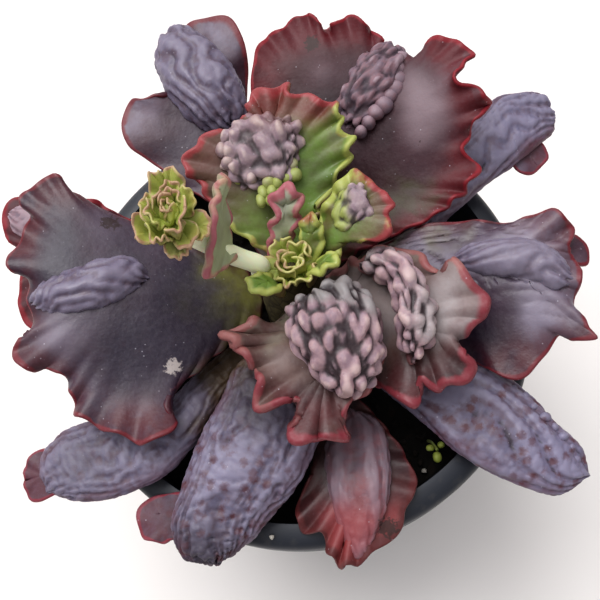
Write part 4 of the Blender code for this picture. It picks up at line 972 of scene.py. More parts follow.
def capped(quads, rows, around):
    """Faces of closed rings with a fan at each end; the two end points are last."""
    faces = [tuple(f) for f in quads.tolist()]
    start, last_ring = rows * around, (rows - 1) * around
    for k in range(around):
        n = (k + 1) % around
        faces.append((start, n, k))
        faces.append((start + 1, last_ring + k, last_ring + n))
    return faces


def swelling_layout(shape, root):
    """A swelling without folds: closed rings between its two side lines, round its axis."""
    left, right = list(shape["left"]), list(shape["right"])
    if root is not None:
        one, other = root_points(root, shape["rise"])[1:]
        one, other = nearer_first(left, one, other)
        left.insert(0, one)
        right.insert(0, other)
    first, second = curve_through(left), curve_through(right)
    step = STEP * SWELLING_STEP
    turn = np.linspace(0, 1, round(first.length / step) + 1)
    # A lump closes at both ends, and a tongue at its far end alone
    if root is None:
        u, keep = 0.5 - 0.5 * np.cos(np.pi * turn), slice(1, -1)
        ends = np.sqrt(1 - (2 * u - 1) ** 2)
    else:
        u, keep = turn * (1.5 - 0.5 * turn), slice(0, -1)
        ends = np.sqrt(1 - u ** 4)
    centre, half = (first(u) + second(u)) / 2, (second(u) - first(u)) / 2
    reach = np.linalg.norm(half, axis=1)
    wide = reach.max()
    around = round(math.pi * (wide + shape["rise"]) / step)
    phi = 2 * np.pi * np.arange(around) / around
    lift = np.where(np.sin(phi) > 0, shape["rise"], shape["sunk"]) * np.sin(phi)
    spread = np.sign(np.cos(phi)) * np.abs(np.cos(phi)) ** SIDE_ROUND
    body = centre[:, None] + half[:, None] * spread[None, :, None]
    body[:, :, 2] += lift[None, :] * ends[:, None]
    body = body[keep]
    rows = len(body)
    points = np.vstack([body.reshape(-1, 3), centre[0], centre[-1]])
    quads = ring_quads(rows, around)
    normals = grid_normals(points, quads)
    axis = centre[-1] - centre[0] + np.array([1e-3, 0, 0])
    normals[-2], normals[-1] = -axis / np.linalg.norm(axis), axis / np.linalg.norm(axis)
    if ((points[:-2] - points.mean(axis=0)) * normals[:-2]).sum() < 0:
        normals[:-2] *= -1
    return SimpleNamespace(points=points, normals=normals, quads=quads, rows=rows, around=around,
                           axis=axis, foot=centre[0], phi=phi, run=u[keep] * first.length,
                           length=first.length, reach=0.5 * (reach[keep] + wide))


def swelling_folds(form, finish, seed):
    """0 in the furrows to 1 on top of a swelling's folds, which are long ridges or short worms."""
    length, width = finish["folds"][:2]
    if length > LONG_FOLD * width:
        across = np.r_[(form.reach[:, None] * (form.phi - np.pi / 2)[None]).ravel(), 0, 0]
        run = np.r_[np.repeat(form.run, form.around), 0, form.length]
        folds = ridges(run, across, (length, width), finish["wander"], seed + 22)
    else:
        pushed = bent(form.points, width * finish["wander"], width * FOLD_BEND, seed + 21)
        lay = np.array(finish.get("fold_axis", form.axis), float)
        folds = worms(pushed, lay, (length, width), seed + 22)
    return eased(folds, form.rows, form.around, FOLD_EASE)


def fine_swelling(shape, finish, seed, root=None):
    """Warty body between two side lines, with fine folds over its coarse warts."""
    form = swelling_layout(shape, root)
    points, rows, around = form.points, form.rows, form.around
    coarse = eased(warts(points, form.axis, shape["wart"], seed), rows, around, WART_EASE)
    folds = swelling_folds(form, finish, seed)
    long, narrow, low = finish["wrinkles"]
    push, size = WRINKLE_BEND
    wrinkles = worms(bent(points, push, size, seed + 25), form.axis, (long, narrow), seed + 26)
    relief = shape["wart_rise"] * WART_SHARE * (coarse - WART_MIDDLE)
    relief = relief + finish["folds"][2] * (folds - FOLD_MIDDLE)
    relief += low * (wrinkles - WRINKLE_MIDDLE)
    relief += sum(height * cloud(points, size, seed + more) for size, height, more in LUMPINESS)
    if root is not None:
        near = np.linalg.norm(points - form.foot, axis=1) / ROOT_FADE
        relief *= np.clip(near - SMOOTH_ROOT, 0, 1)
        relief *= np.r_[np.tile(1 - FLANK_CALM * np.abs(np.cos(form.phi)) ** 4, rows), 1, 1]
    side_edge = np.r_[np.tile(np.abs(np.cos(form.phi)) ** 6, rows), 0.5, 0.5]
    looks = {
        "rim": side_edge * (0.0 if root is None else TONGUE_RIM),
        "under": np.r_[np.tile(0.5 - 0.5 * np.sin(form.phi), rows), 0.5, 0.5],
        # The skin paints highlight where crest is high and shade in the furrows, where it is low
        "crest": np.clip(0.1 * coarse + 1.35 * folds + 0.2 * wrinkles ** 2 - 0.4, 0, 1),
        "wart": np.ones(len(points)),
    }
    points = points + form.normals * relief[:, None]
    return points, capped(form.quads, rows, around), looks


def merged(parts):
    """Several shells as one set of points, faces and looks."""
    points, faces, looks = [], [], {key: [] for key in parts[0][2]}
    count = 0
    for some, theirs, look in parts:
        points.append(some)
        faces += [tuple(c + count for c in f) for f in theirs]
        for key in looks:
            looks[key].append(look[key])
        count += len(some)
    return np.vstack(points), faces, {k: np.concatenate(v) for k, v in looks.items()}


def made_piece(name, points, faces, looks=None):
    """Object with a smooth closed mesh, from points in millimetres above the rim."""
    points = np.asarray(points, float)
    mesh = bpy.data.meshes.new(name)
    shift = np.array([0, 0, RIM_HEIGHT])
    mesh.from_pydata(((points + shift) * MM).tolist(), [], faces)
    for key, values in (looks or {}).items():
        layer = mesh.attributes.new(key, "FLOAT", "POINT")
        layer.data.foreach_set("value", np.asarray(values, np.float32))
    bm = bmesh.new()
    bm.from_mesh(mesh)
    loose = [v for v in bm.verts if not v.link_faces]
    bmesh.ops.delete(bm, geom=loose, context="VERTS")
    bmesh.ops.recalc_face_normals(bm, faces=bm.faces)
    bm.to_mesh(mesh)
    bm.free()
    mesh.shade_smooth()
    piece = bpy.data.objects.new(name, mesh)
    bpy.context.collection.objects.link(piece)
    return piece


def ripeness(points, fresh, ripe):
    """0 where the leaf is greenest to 1 where it is reddest, along a line seen from above."""
    way = np.array(ripe, float) - np.array(fresh, float)
    return np.clip((points[:, :2] - np.array(fresh)) @ way / (way @ way), 0, 1)


def ball(subdivisions):
    """Points and faces of a sphere of radius 1, made of triangles."""
    bm = bmesh.new()
    bmesh.ops.create_icosphere(bm, subdivisions=subdivisions, radius=1.0)
    points = np.array([v.co[:] for v in bm.verts])
    faces = [tuple(v.index for v in f.verts) for f in bm.faces]
    bm.free()
    return points, faces


def berry(place, radius, ripe, rng):
    """Nearly round bead, a little uneven."""
    points, faces = ball(3)
    points *= radius * rng.uniform(0.84, 1.2, 3)
    points *= 1 + 0.14 * cloud(points, radius, rng.randint(1000))[:, None]
    level = np.clip(points[:, 2] / radius, -1, 1)
    # The crest rises with height, so the skin paints a highlight on a bead's top and shade under it
    looks = {"rim": np.zeros(len(points)), "under": 0.5 - 0.5 * level, "wart": np.ones(len(points)),
             "crest": np.clip(0.5 + 0.45 * level, 0, 1), "ripe": np.full(len(points), ripe)}
    return points + np.array(place), faces, looks


def crumb(centre, size, rng):
    """Small angular lump."""
    points, faces = ball(1)
    points *= 1 + 0.3 * rng.uniform(-1, 1, (len(points), 1))
    a, b = rng.uniform(0, math.pi, 2)
    turn = np.array(Matrix.Rotation(a, 3, "Z") @ Matrix.Rotation(b, 3, "X"))
    return (points * size) @ turn.T + np.array(centre), faces, {}


def patched(points, patches):
    """Sum of soft round patches, each (x, y, z, radius, amount)."""
    total = np.zeros(len(points))
    for *place, radius, amount in patches:
        away = np.linalg.norm(points - np.array(place), axis=1)
        total += amount * np.exp(-(away / radius) ** 2)
    return np.clip(total, -1, 1)


def scarred_by(name, points, scars):
    """1 in the middle of a leaf's scars to 0 at their edge."""
    mark = np.zeros(len(points))
    for leaf_name, place, radius in scars:
        if leaf_name == name:
            away = np.linalg.norm((points - np.array(place)) * (1, 1, SCAR_DEPTH), axis=1)
            mark = np.maximum(mark, np.clip(1 - away / radius, 0, 1))
    return mark


def leaf(name, seed):
    """One leaf of the rosette: its blade with the swelling grown on it, or a tongue."""
    finish = {**USUAL_FINISH, **FINISH[name]}
    if name in TONGUES:
        shape = TONGUES[name]
        parts = [fine_swelling(shape, finish, seed, shape["root"])]
    else:
        spec = BLADES[name]
        root_thick = min(ROOT_THICK, ROOT_SHARE * spec["thick"])
        middle, one, other = root_points(spec["root"], root_thick / 2, spec["midrib"][0])
        one, other = nearer_first(spec["margin"], one, other)
        parts = [fine_blade([one, *spec["margin"], other], [middle, *spec["midrib"]],
                            spec["thick"], root_thick, finish, seed)]
        if name in LUMPS:
            parts.append(fine_swelling(LUMPS[name], finish, seed))
    if name in TIPS:
        tip = TIPS[name]
        parts.append(fine_blade(tip["margin"], tip["midrib"], TIP_THICK, TIP_THICK, TIP_FINISH,
                                seed + 70))
    for points, _, looks in parts:
        looks["ripe"] = ripeness(points, finish["fresh"], finish["ripe"])
    rng = np.random.RandomState(seed + 90)
    for x, y, z, radius, ripe in BERRIES.get(name, []):
        parts.append(berry((x, y, z), radius, ripe, rng))
    points, faces, looks = merged(parts)
    for key in ("flush", "dark", "marks"):
        looks[key] = np.full(len(points), finish[key])
    # Painted highlight and painted shade, partly thick wax, from the listed patches
    looks["wax_and_painted_light"] = patched(points, WAX_AND_PAINTED_LIGHT_PATCHES.get(name, []))
    looks["blush"] = patched(points, BLUSHES.get(name, []))
    looks["brown_scar"] = scarred_by(name, points, BROWN_SCARS)
    looks["pale_scar"] = scarred_by(name, points, PALE_SCARS)
    return made_piece(name + "_fine", points, faces, looks)


def hue(code):
    """Linear colour of an sRGB hex value."""
    parts = [int(code[k:k + 2], 16) / 255 for k in (1, 3, 5)]
    return (*[p / 12.92 if p <= 0.04045 else ((p + 0.055) / 1.055) ** 2.4 for p in parts], 1.0)


def per_size(size_mm):
    """Pattern scale that gives features of this size in object coordinates, which are metres."""
    return 1 / (size_mm * MM)


def node(tree, kind, feeds=None, **settings):
    """Add a node with its settings; each feed is a value or another node's output."""
    made = tree.nodes.new("ShaderNode" + kind)
    for key, value in settings.items():
        setattr(made, key, value)
    for socket, feed in (feeds or {}).items():
        if isinstance(feed, bpy.types.NodeSocket):
            tree.links.new(feed, made.inputs[socket])
        else:
            made.inputs[socket].default_value = feed
    return made


def blank(name):
    """New material, its node tree, and places on the piece for its patterns."""
    made = bpy.data.materials.new(name)
    made.use_nodes = True
    tree = made.node_tree
    tree.nodes.clear()
    return made, tree, node(tree, "TexCoord").outputs["Object"]


# Noise of a leaf's skin: size of its patches in millimetres, detail and roughness
SKIN_NOISE = {"wide": (24, 3.0, 0.55), "middling": (7, 3.0, 0.55), "small": (3, 3.0, 0.6),
              "fine": (1.3, 4.0, 0.65), "rare": (13, 2.0, 0.5)}
SKIN_CELLS = {"blotch": 3.8, "speck": 2.4}
SKIN_LOOKS = ("crest", "rim", "ripe", "under", "wart", "flush", "dark", "wax_and_painted_light", "blush",
              "brown_scar", "pale_scar", "marks")
# How much of each colour shows: what a share is called, how it is worked out and from what.
# RANGE takes a value from low and high to its new low and high, which are otherwise 0 and 1.
# A name is another share or one of the skin's own numbers.
SKIN_SHARES = [
    ("drift", "RANGE", "wide", 0.3, 0.7, -0.16, 0.16),
    ("age", "ADD", "ripe", "drift"),
    ("grown", "RANGE", "age", "turn_low", "turn_high"),
    ("reddest", "RANGE", "age", 0.55, 1.1),
    ("patch", "RANGE", "middling", 0.35, 0.7, 0.0, 0.6),
    ("deep", "RANGE", "wide", 0.3, 0.65, 1.0, 0.45),
    ("deepest_and_painted_shade", "MULTIPLY", "deep", "dark"),
    ("deepest_and_painted_shade", "MULTIPLY", "deepest_and_painted_shade", "grown"),
    # Patches below 0 deepen the flesh as painted shade, and those above 0 lighten it
    ("deepest_and_painted_shade", "SUBTRACT", "deepest_and_painted_shade", "wax_and_painted_light"),
    ("deepest_and_painted_shade", "RANGE", "deepest_and_painted_shade", 0.0, 1.0, 0.0, 0.9),
    ("powder", "RANGE", "wide", 0.36, 0.62, 0.15, 1.0),
    # The bloom is paler on crests: partly wax, partly painted highlight on rises and shade in hollows
    ("raised_highlight", "RANGE", "crest", 0.35, 0.85, 0.05, 1.0),
    ("bloom_and_painted_light", "MULTIPLY", "powder", "raised_highlight"),
    ("bare", "RANGE", "dark", 0.0, 1.0, 1.0, 0.1),
    ("bloom_and_painted_light", "MULTIPLY", "bloom_and_painted_light", "bare"),
    ("bloom_and_painted_light", "MULTIPLY", "bloom_and_painted_light", "bloom_strength"),
    # Patches above 0 add painted highlight with thick wax, and those below 0 painted shade
    ("thick_wax_and_painted_light", "MULTIPLY", "wax_and_painted_light", 0.75),
    ("bloom_and_painted_light", "ADD", "bloom_and_painted_light", "thick_wax_and_painted_light"),
    ("bloom_and_painted_light", "RANGE", "bloom_and_painted_light", 0.0, 1.0),
    ("wart_grown", "RANGE", "age", "wart_low", "wart_high"),
    ("wart_patch", "RANGE", "small", 0.35, 0.65, 0.0, 0.75),
    # Painted highlight on the tops of warts and folds
    ("wart_top_highlight", "RANGE", "crest", 0.7, 1.0, 0.0, 0.8),
    # Patches below 0 paint shade on warts, and those above 0 highlight with thick wax
    ("wart_painted_shade", "MULTIPLY", "wax_and_painted_light", -0.8),
    ("wart_painted_shade", "RANGE", "wart_painted_shade", 0.0, 1.0),
    ("wart_wax_and_highlight", "RANGE", "wax_and_painted_light", 0.0, 1.0, 0.0, 0.8),
    ("wart_patch", "MULTIPLY", "wart_patch", "wart_grown"),
    ("wart_top_highlight", "MULTIPLY", "wart_top_highlight", "wart_grown"),
    # Painted shade in the furrows of warts, folds and wrinkles
    ("furrow_shaded", "RANGE", "crest", 0.02, 0.45, "furrow_shade_share", 0.0),
    ("ragged", "RANGE", "fine", 0.3, 0.7, -0.1, 0.1),
    ("blotch", "ADD", "blotch", "ragged"),
    ("blotch", "RANGE", "blotch", 0.16, 0.5, 0.85, 0.0),
    ("pit", "RANGE", "crest", 0.6, 1.0, 1.0, 0.65),
    ("blotch", "MULTIPLY", "blotch", "pit"),
    ("blotch_area", "RANGE", "rare", 0.36, 0.46),
    ("blotch_end", "RANGE", "ripe", 0.15, 0.55),
    ("blotch", "MULTIPLY", "blotch", "blotch_area"),
    ("blotch", "MULTIPLY", "blotch", "blotch_end"),
    ("blotch", "MULTIPLY", "blotch", "marks"),
    ("near_rim", "POWER", "rim", 0.3),
    ("flushed", "RANGE", "near_rim", 0.2, 0.8),
    ("flush_patch", "RANGE", "middling", 0.3, 0.6, 0.25, 1.0),
    ("flushed", "MULTIPLY", "flushed", "flush_patch"),
    ("flushed", "MULTIPLY", "flushed", "flush"),
    ("flushed", "ADD", "flushed", "blush"),
    ("flushed", "RANGE", "flushed", 0.0, 1.0, 0.0, 0.92),
    ("uneven", "RANGE", "middling", 0.3, 0.7, -0.3, 0.3),
    ("edge_age", "ADD", "age", "uneven"),
    ("edge_age", "ADD", "edge_age", "blush"),
    ("edge_grown", "RANGE", "edge_age", "edge_low", "edge_high"),
    ("broken", "RANGE", "middling", 0.3, 0.55, -0.1, 0.05),
    ("line", "ADD", "rim", "broken"),
    ("line", "RANGE", "line", "line_low", 0.96),
    ("below", "RANGE", "under", 0.5, 0.85, 0.0, 0.75),
    ("dust", "RANGE", "fine", 0.35, 0.75, 0.0, 0.07),
    ("speck", "RANGE", "speck", 0.05, 0.11, 1.0, 0.0),
    ("speck_area", "RANGE", "rare", 0.5, 0.62, 0.05, 0.4),
    ("speck", "MULTIPLY", "speck", "speck_area"),
    ("torn", "RANGE", "fine", 0.3, 0.7, -0.25, 0.25),
    ("corky", "ADD", "brown_scar", "torn"),
    ("corky", "RANGE", "corky", 0.3, 0.5, 0.0, 0.85),
    ("sappy", "ADD", "pale_scar", "torn"),
    ("sappy", "RANGE", "sappy", 0.35, 0.6, 0.0, 0.85),
    ("shine", "RANGE", "wide", 0.3, 0.7, 0.0, 0.14),
    ("rough", "ADD", "shine", "gloss"),
    ("grain", "MULTIPLY", "fine", 0.25),
    ("relief", "ADD", "small", "grain"),
]
# Layers of colour, from the lowest: which share of which colour
BLADE_LAYERS = [("grown", "flesh"), ("reddest", "ripe_flesh"), ("patch", "flesh_two"),
                ("deepest_and_painted_shade", "deep_flesh"), ("bloom_and_painted_light", "bloom")]
WART_LAYERS = [("wart_grown", "crest_flesh"), ("wart_patch", "crest_two"),
               ("wart_top_highlight", "crest_highlight"), ("wart_wax_and_highlight", "bloom"), ("wart_painted_shade", "deep_flesh"),
               ("furrow_shaded", "furrow_shade")]
TOP_LAYERS = [("blotch", "mark"), ("flushed", "margin_dark"), ("line", "edge"), ("below", "back"),
              ("dust", "bloom"), ("speck", "wax_and_painted_light"), ("corky", "cork"), ("sappy", "sap")]
# Colours that every skin shares: specks of thick wax, brown cork and dried sap
SHARED_TINTS = {"wax_and_painted_light": "#cfcbd4", "cork": "#2e1a16", "sap": "#b5aaa6"}


def skin_shares(tree, place, tone):
    """The numbers, patterns, looks and shares of a skin, by name."""
    share = {key: value for key, value in tone.items() if not isinstance(value, str)}
    for key, (size, detail, rough) in SKIN_NOISE.items():
        share[key] = node(tree, "TexNoise",
                          {"Vector": place, "Scale": per_size(size), "Detail": detail,
                           "Roughness": rough}).outputs["Fac"]
    for key, size in SKIN_CELLS.items():
        share[key] = node(tree, "TexVoronoi",
                          {"Vector": place, "Scale": per_size(size)}).outputs["Distance"]
    for key in SKIN_LOOKS:
        share[key] = node(tree, "Attribute", attribute_name=key).outputs["Fac"]
    for key, how, *values in SKIN_SHARES:
        feeds = {k: share.get(value, value) for k, value in enumerate(values)}
        if how == "RANGE":
            share[key] = node(tree, "MapRange", feeds, interpolation_type="SMOOTHSTEP").outputs[0]
        else:
            share[key] = node(tree, "Math", feeds, operation=how).outputs[0]
    return share


def leaf_skin(name, tone):
    """Living leaf with a wax bloom. The bloom is a fine powder of wax: it greys the crests, partly as
    painted highlight, is thin in furrows, and leaves the margin's red bare. Painted shade darkens the
    furrows, and listed patches paint further highlight and shade."""
    made, tree, place = blank(name)
    share = skin_shares(tree, place, tone)
    tints = {**tone, **SHARED_TINTS}
    colour = {key: hue(value) for key, value in tints.items() if isinstance(value, str)}
    colour["edge"] = node(tree, "Mix", {0: share["edge_grown"], 6: colour["margin_fresh"],
                                        7: colour["margin"]}, data_type="RGBA").outputs[2]
    stacks = []
    for first, layers in (("fresh", BLADE_LAYERS), ("wart_fresh", WART_LAYERS)):
        stack = colour[first]
        for key, tint in layers:
            stack = node(tree, "Mix", {0: share[key], 6: stack, 7: colour[tint]},
                         data_type="RGBA").outputs[2]
        stacks.append(stack)
    skin = node(tree, "Mix", {0: share["wart"], 6: stacks[0], 7: stacks[1]},
                data_type="RGBA").outputs[2]
    for key, tint in TOP_LAYERS:
        skin = node(tree, "Mix", {0: share[key], 6: skin, 7: colour[tint]}, data_type="RGBA").outputs[2]
    bump = node(tree, "Bump", {"Height": share["relief"], "Strength": 0.4, "Distance": 0.5 * MM})
    shader = node(tree, "BsdfPrincipled",
                  {"Base Color": skin, "Roughness": share["rough"], "Normal": bump.outputs[0],
                   "IOR": 1.45, "Specular IOR Level": tone["specular"], "Subsurface Weight": 0.04,
                   "Subsurface Scale": 1.2 * MM, "Subsurface Radius": (1.0, 0.35, 0.25)})
    node(tree, "OutputMaterial", {"Surface": shader.outputs[0]})
    return made


# Colours and numbers of the skins, one column for each. turn_low and turn_high: where along the
# leaf, from its greenest place, 0, to its reddest, 1, the green goes over into the flesh's own
# colour. wart: the same for a swelling, and edge: for the margin's red. line_low: how near the
# margin its red line starts, 1 being the very edge. bloom_strength: how thick the wax lies, and so
# how strong the painted highlight that the bloom lays on crests. gloss: the least roughness.
# furrow_shade_share: how dark the painted shade in the furrows is. The tops of warts take a painted
# highlight colour, and their furrows a painted shade colour.
SKINS = ("purple", "wine", "rolled", "green", "grey", "red", "clasp", "bract")
SKIN_TABLE = {
    "fresh": ("#767438", "#3f3a22", "#8c8474", "#6c8834", "#54422c", "#2c1e1e", "#a2aa86", "#8aa236"),
    "flesh": ("#3d293a", "#45272f", "#70564f", "#664e42", "#5c525e", "#50282e", "#94948a", "#aeb65e"),
    "flesh_two": ("#33222e", "#371d26", "#4a302e", "#5e5238", "#4b3d45", "#462e28", "#8a8a74", "#a4ae5a"),
    "ripe_flesh": ("#452831", "#4f272d", "#47292b", "#5e3a38", "#5c3c42", "#76382f", "#92807c", "#a08c50"),
    "deep_flesh": ("#20142a", "#220e14", "#2c2023", "#2e3c18", "#30262f", "#251214", "#5c4c40", "#5c6a24"),
    "bloom": ("#8b8291", "#857278", "#a79e9e", "#a5a894", "#9792ae", "#8a6a72", "#b4a8a4", "#bcbe94"),
    "wart_fresh": ("#645e74", "#645e74", "#8e8888", "#a0a860", "#54422c", "#5c4e58", "#a9b455", "#a9b455"),
    "crest_flesh": ("#655c71", "#7b6a75", "#ae9094", "#a48e93", "#686277", "#776670", "#b5b56c", "#b5b56c"),
    "crest_two": ("#5f4d59", "#8c6a70", "#8e7682", "#8c7682", "#64525d", "#82545a", "#a5a85a", "#a5a85a"),
    "crest_highlight": ("#7e7689", "#a8929a", "#c8aeab", "#c2aca6", "#857f93", "#8e7e88", "#d0ca94", "#d0ca94"),
    "furrow_shade": ("#191320", "#201722", "#281a20", "#2e2028", "#2a1f2a", "#3a2026", "#5c6428", "#5c6428"),
    "mark": ("#3f2022", "#3f2022", "#4f2c28", "#4b3426", "#552a2e", "#2e1614", "#8a6a40", "#8a6a40"),
    "margin": ("#6e1c26", "#86202a", "#82323c", "#963a3e", "#7e2c38", "#5a2626", "#a8626a", "#b08c70"),
    "margin_fresh": ("#561f24", "#66222a", "#9a6460", "#a8ae5c", "#6a3038", "#4c1a1e", "#b89a80", "#c0bc78"),
    "margin_dark": ("#521820", "#5e1a21", "#5a2c2e", "#6b2a28", "#5a303a", "#8c3c3e", "#94605e", "#94604a"),
    "back": ("#48202a", "#551f27", "#6e3a3a", "#7c5a44", "#523a44", "#4c2224", "#86866c", "#7c7438"),
    "turn_low": (0.05, 0.0, 0.0, 0.25, 0.05, 0.3, 0.2, 0.0),
    "turn_high": (0.4, 0.2, 0.4, 0.75, 0.3, 0.8, 0.8, 0.6),
    "wart_low": (0.0, 0.0, 0.0, 0.02, 0.1, 0.1, 0.0, 0.0),
    "wart_high": (0.1, 0.1, 0.2, 0.3, 0.38, 0.6, 0.5, 0.5),
    "edge_low": (0.1, 0.1, 0.1, 0.2, 0.0, 0.1, -0.2, 0.4),
    "edge_high": (0.5, 0.5, 0.9, 0.75, 0.5, 0.5, 0.4, 0.9),
    "bloom_strength": (0.5, 0.35, 0.6, 0.4, 0.6, 0.35, 0.5, 0.5),
    "line_low": (0.8, 0.78, 0.76, 0.72, 0.86, 0.8, 0.75, 0.9),
    "gloss": (0.38, 0.42, 0.4, 0.4, 0.44, 0.42, 0.42, 0.38),
    "specular": (0.65, 0.4, 0.6, 0.6, 0.6, 0.5, 0.5, 0.6),
    "furrow_shade_share": (0.5, 0.75, 0.95, 0.9, 0.95, 0.4, 0.5, 0.7),
}
TONES = {skin: {key: row[k] for key, row in SKIN_TABLE.items()} for k, skin in enumerate(SKINS)}
SKIN_NAMES = {
    "purple": "leaf_purple_cuticle_with_wax_bloom",
    "wine": "leaf_wine_red_cuticle_with_wax_bloom",
    "rolled": "leaf_mauve_cuticle_with_wax_bloom",
    "green": "leaf_young_green_cuticle_with_wax_bloom",
    "grey": "leaf_blue_grey_cuticle_with_wax_bloom",
    "red": "leaf_old_red_cuticle_thin_bloom",
    "clasp": "bract_rosy_cuticle_with_wax_bloom",
    "bract": "bract_pale_green_cuticle",
}
# Slots of the leaves; those with another skin are leaf_purple
LEAF_SLOTS = {"green": "leaf_green", "grey": "leaf_blue_grey", "red": "leaf_red"}


def moulded_plastic():
    """Recycled polypropylene, injection moulded: near black, satin, with a faint flow grain."""
    made, tree, place = blank("polypropylene_black_injection_moulded")
    smears = node(tree, "TexNoise", {"Vector": place, "Scale": per_size(18), "Detail": 4.0})
    grain = node(tree, "TexNoise", {"Vector": place, "Scale": per_size(0.8), "Detail": 2.0})
    dust = node(tree, "TexNoise", {"Vector": place, "Scale": per_size(3), "Detail": 6.0})
    shade = node(tree, "Mix", {0: smears.outputs["Fac"], 6: hue("#202228"), 7: hue("#2c303a")},
                 data_type="RGBA").outputs[2]
    dusty = node(tree, "MapRange", {0: dust.outputs["Fac"], 1: 0.55, 2: 0.8, 3: 0.0, 4: 0.3})
    shade = node(tree, "Mix", {0: dusty.outputs[0], 6: shade, 7: hue("#5a5650")},
                 data_type="RGBA").outputs[2]
    rough = node(tree, "MapRange", {0: smears.outputs["Fac"], 1: 0.3, 2: 0.7, 3: 0.36, 4: 0.5})
    bump = node(tree, "Bump", {"Height": grain.outputs["Fac"], "Strength": 0.12, "Distance": 0.1 * MM})
    body = node(tree, "BsdfPrincipled",
                {"Base Color": shade, "Roughness": rough.outputs[0], "IOR": 1.49,
                 "Normal": bump.outputs[0]})
    node(tree, "OutputMaterial", {"Surface": body.outputs[0]})
    return made


def damp_mix():
    """Peat and bark potting mix, damp: almost black, matt, with browner fibres."""
    made, tree, place = blank("potting_mix_damp_peat_and_bark")
    clods = node(tree, "TexVoronoi", {"Vector": place, "Scale": per_size(2.2)})
    grit = node(tree, "TexNoise", {"Vector": place, "Scale": per_size(1.0), "Detail": 6.0,
                                   "Roughness": 0.7})
    shade = node(tree, "Mix", {0: grit.outputs["Fac"], 6: hue("#090807"), 7: hue("#1c1612")},
                 data_type="RGBA").outputs[2]
    tint = node(tree, "MapRange", {0: clods.outputs["Color"], 1: 0.75, 2: 1.0, 3: 0.0, 4: 0.5})
    shade = node(tree, "Mix", {0: tint.outputs[0], 6: shade, 7: hue("#33241a")},
                 data_type="RGBA").outputs[2]
    bump = node(tree, "Bump", {"Height": grit.outputs["Fac"], "Strength": 0.7, "Distance": 0.6 * MM})
    body = node(tree, "BsdfPrincipled", {"Base Color": shade, "Roughness": 0.92,
                                         "Normal": bump.outputs[0]})
    node(tree, "OutputMaterial", {"Surface": body.outputs[0]})
    return made


def perlite():
    """Expanded perlite: white, chalky and full of pores."""
    made, tree, place = blank("perlite_expanded_white")
    pores = node(tree, "TexVoronoi", {"Vector": place, "Scale": per_size(0.5)})
    shade = node(tree, "Mix", {0: pores.outputs["Distance"], 6: hue("#a29c92"), 7: hue("#dcd8ce")},
                 data_type="RGBA").outputs[2]
    bump = node(tree, "Bump", {"Height": pores.outputs["Distance"], "Strength": 0.5,
                               "Distance": 0.3 * MM})
    body = node(tree, "BsdfPrincipled", {"Base Color": shade, "Roughness": 0.85,
                                         "Normal": bump.outputs[0]})
    node(tree, "OutputMaterial", {"Surface": body.outputs[0]})
    return made


def stalk_skin():
    """Juicy flower stalk: smooth pale green cuticle, a little see-through, with paler patches. Its
    colours are raised almost to white as painted light where the head and bract shade it.
    """
    made, tree, place = blank("stalk_green_cuticle_painted_light")
    patches = node(tree, "TexNoise", {"Vector": place, "Scale": per_size(9), "Detail": 3.0})
    # Painted light: near-white colours stand in for light where the head and bract shade the stalk
    shade = node(tree, "Mix", {0: patches.outputs["Fac"], 6: hue("#f2f8c4"), 7: hue("#fcfce6")},
                 data_type="RGBA").outputs[2]
    bump = node(tree, "Bump", {"Height": patches.outputs["Fac"], "Strength": 0.2, "Distance": 0.4 * MM})
    body = node(tree, "BsdfPrincipled",
                {"Base Color": shade, "Roughness": 0.4, "IOR": 1.42, "Subsurface Weight": 0.15,
                 "Subsurface Scale": 2 * MM, "Normal": bump.outputs[0]})
    node(tree, "OutputMaterial", {"Surface": body.outputs[0]})
    return made


def old_bark():
    """Corky stem: brown skin cracked between the scars of shed leaves."""
    made, tree, place = blank("stem_corky_bark")
    cracks = node(tree, "TexVoronoi", {"Vector": place, "Scale": per_size(3.5)},
                  feature="DISTANCE_TO_EDGE")
    wear = node(tree, "TexNoise", {"Vector": place, "Scale": per_size(2), "Detail": 5.0})
    shade = node(tree, "Mix", {0: wear.outputs["Fac"], 6: hue("#3a3220"), 7: hue("#5c5434")},
                 data_type="RGBA").outputs[2]
    deep = node(tree, "MapRange", {0: cracks.outputs["Distance"], 1: 0.0, 2: 0.08, 3: 0.8, 4: 0.0})
    shade = node(tree, "Mix", {0: deep.outputs[0], 6: shade, 7: hue("#241a12")},
                 data_type="RGBA").outputs[2]
    bump = node(tree, "Bump", {"Height": cracks.outputs["Distance"], "Strength": 0.6,
                               "Distance": 0.8 * MM})
    body = node(tree, "BsdfPrincipled", {"Base Color": shade, "Roughness": 0.8,
                                         "Normal": bump.outputs[0]})
    node(tree, "OutputMaterial", {"Surface": body.outputs[0]})
    return made


def turned(name, profile, segments, shake=None):
    """Body turned round Z from an outline of (radius, height above the rim), which starts and
    ends on the axis."""
    points, rings = [], []
    for radius, height in profile:
        if radius == 0:
            rings.append(np.full(segments, len(points)))
            points.append((0, 0, height))
            continue
        rings.append(len(points) + np.arange(segments))
        for angle in 2 * math.pi * np.arange(segments) / segments:
            points.append((radius * math.cos(angle), radius * math.sin(angle), height))
    faces = []
    for low, high in zip(rings, rings[1:]):
        strip = np.stack([low, np.roll(low, -1), np.roll(high, -1), high], axis=-1)
        faces += [tuple(dict.fromkeys(f)) for f in strip.tolist()]
    points = np.array(points, float)
    if shake is not None:
        points = shake(points)
    return made_piece(name, points, faces)


def arc(centre, radius, start, finish, steps):
    """Points of a round edge in an outline, angles in degrees from outward to upward."""
    angles = np.radians(np.linspace(start, finish, steps))
    return [(centre[0] + radius * math.cos(a), centre[1] + radius * math.sin(a)) for a in angles]


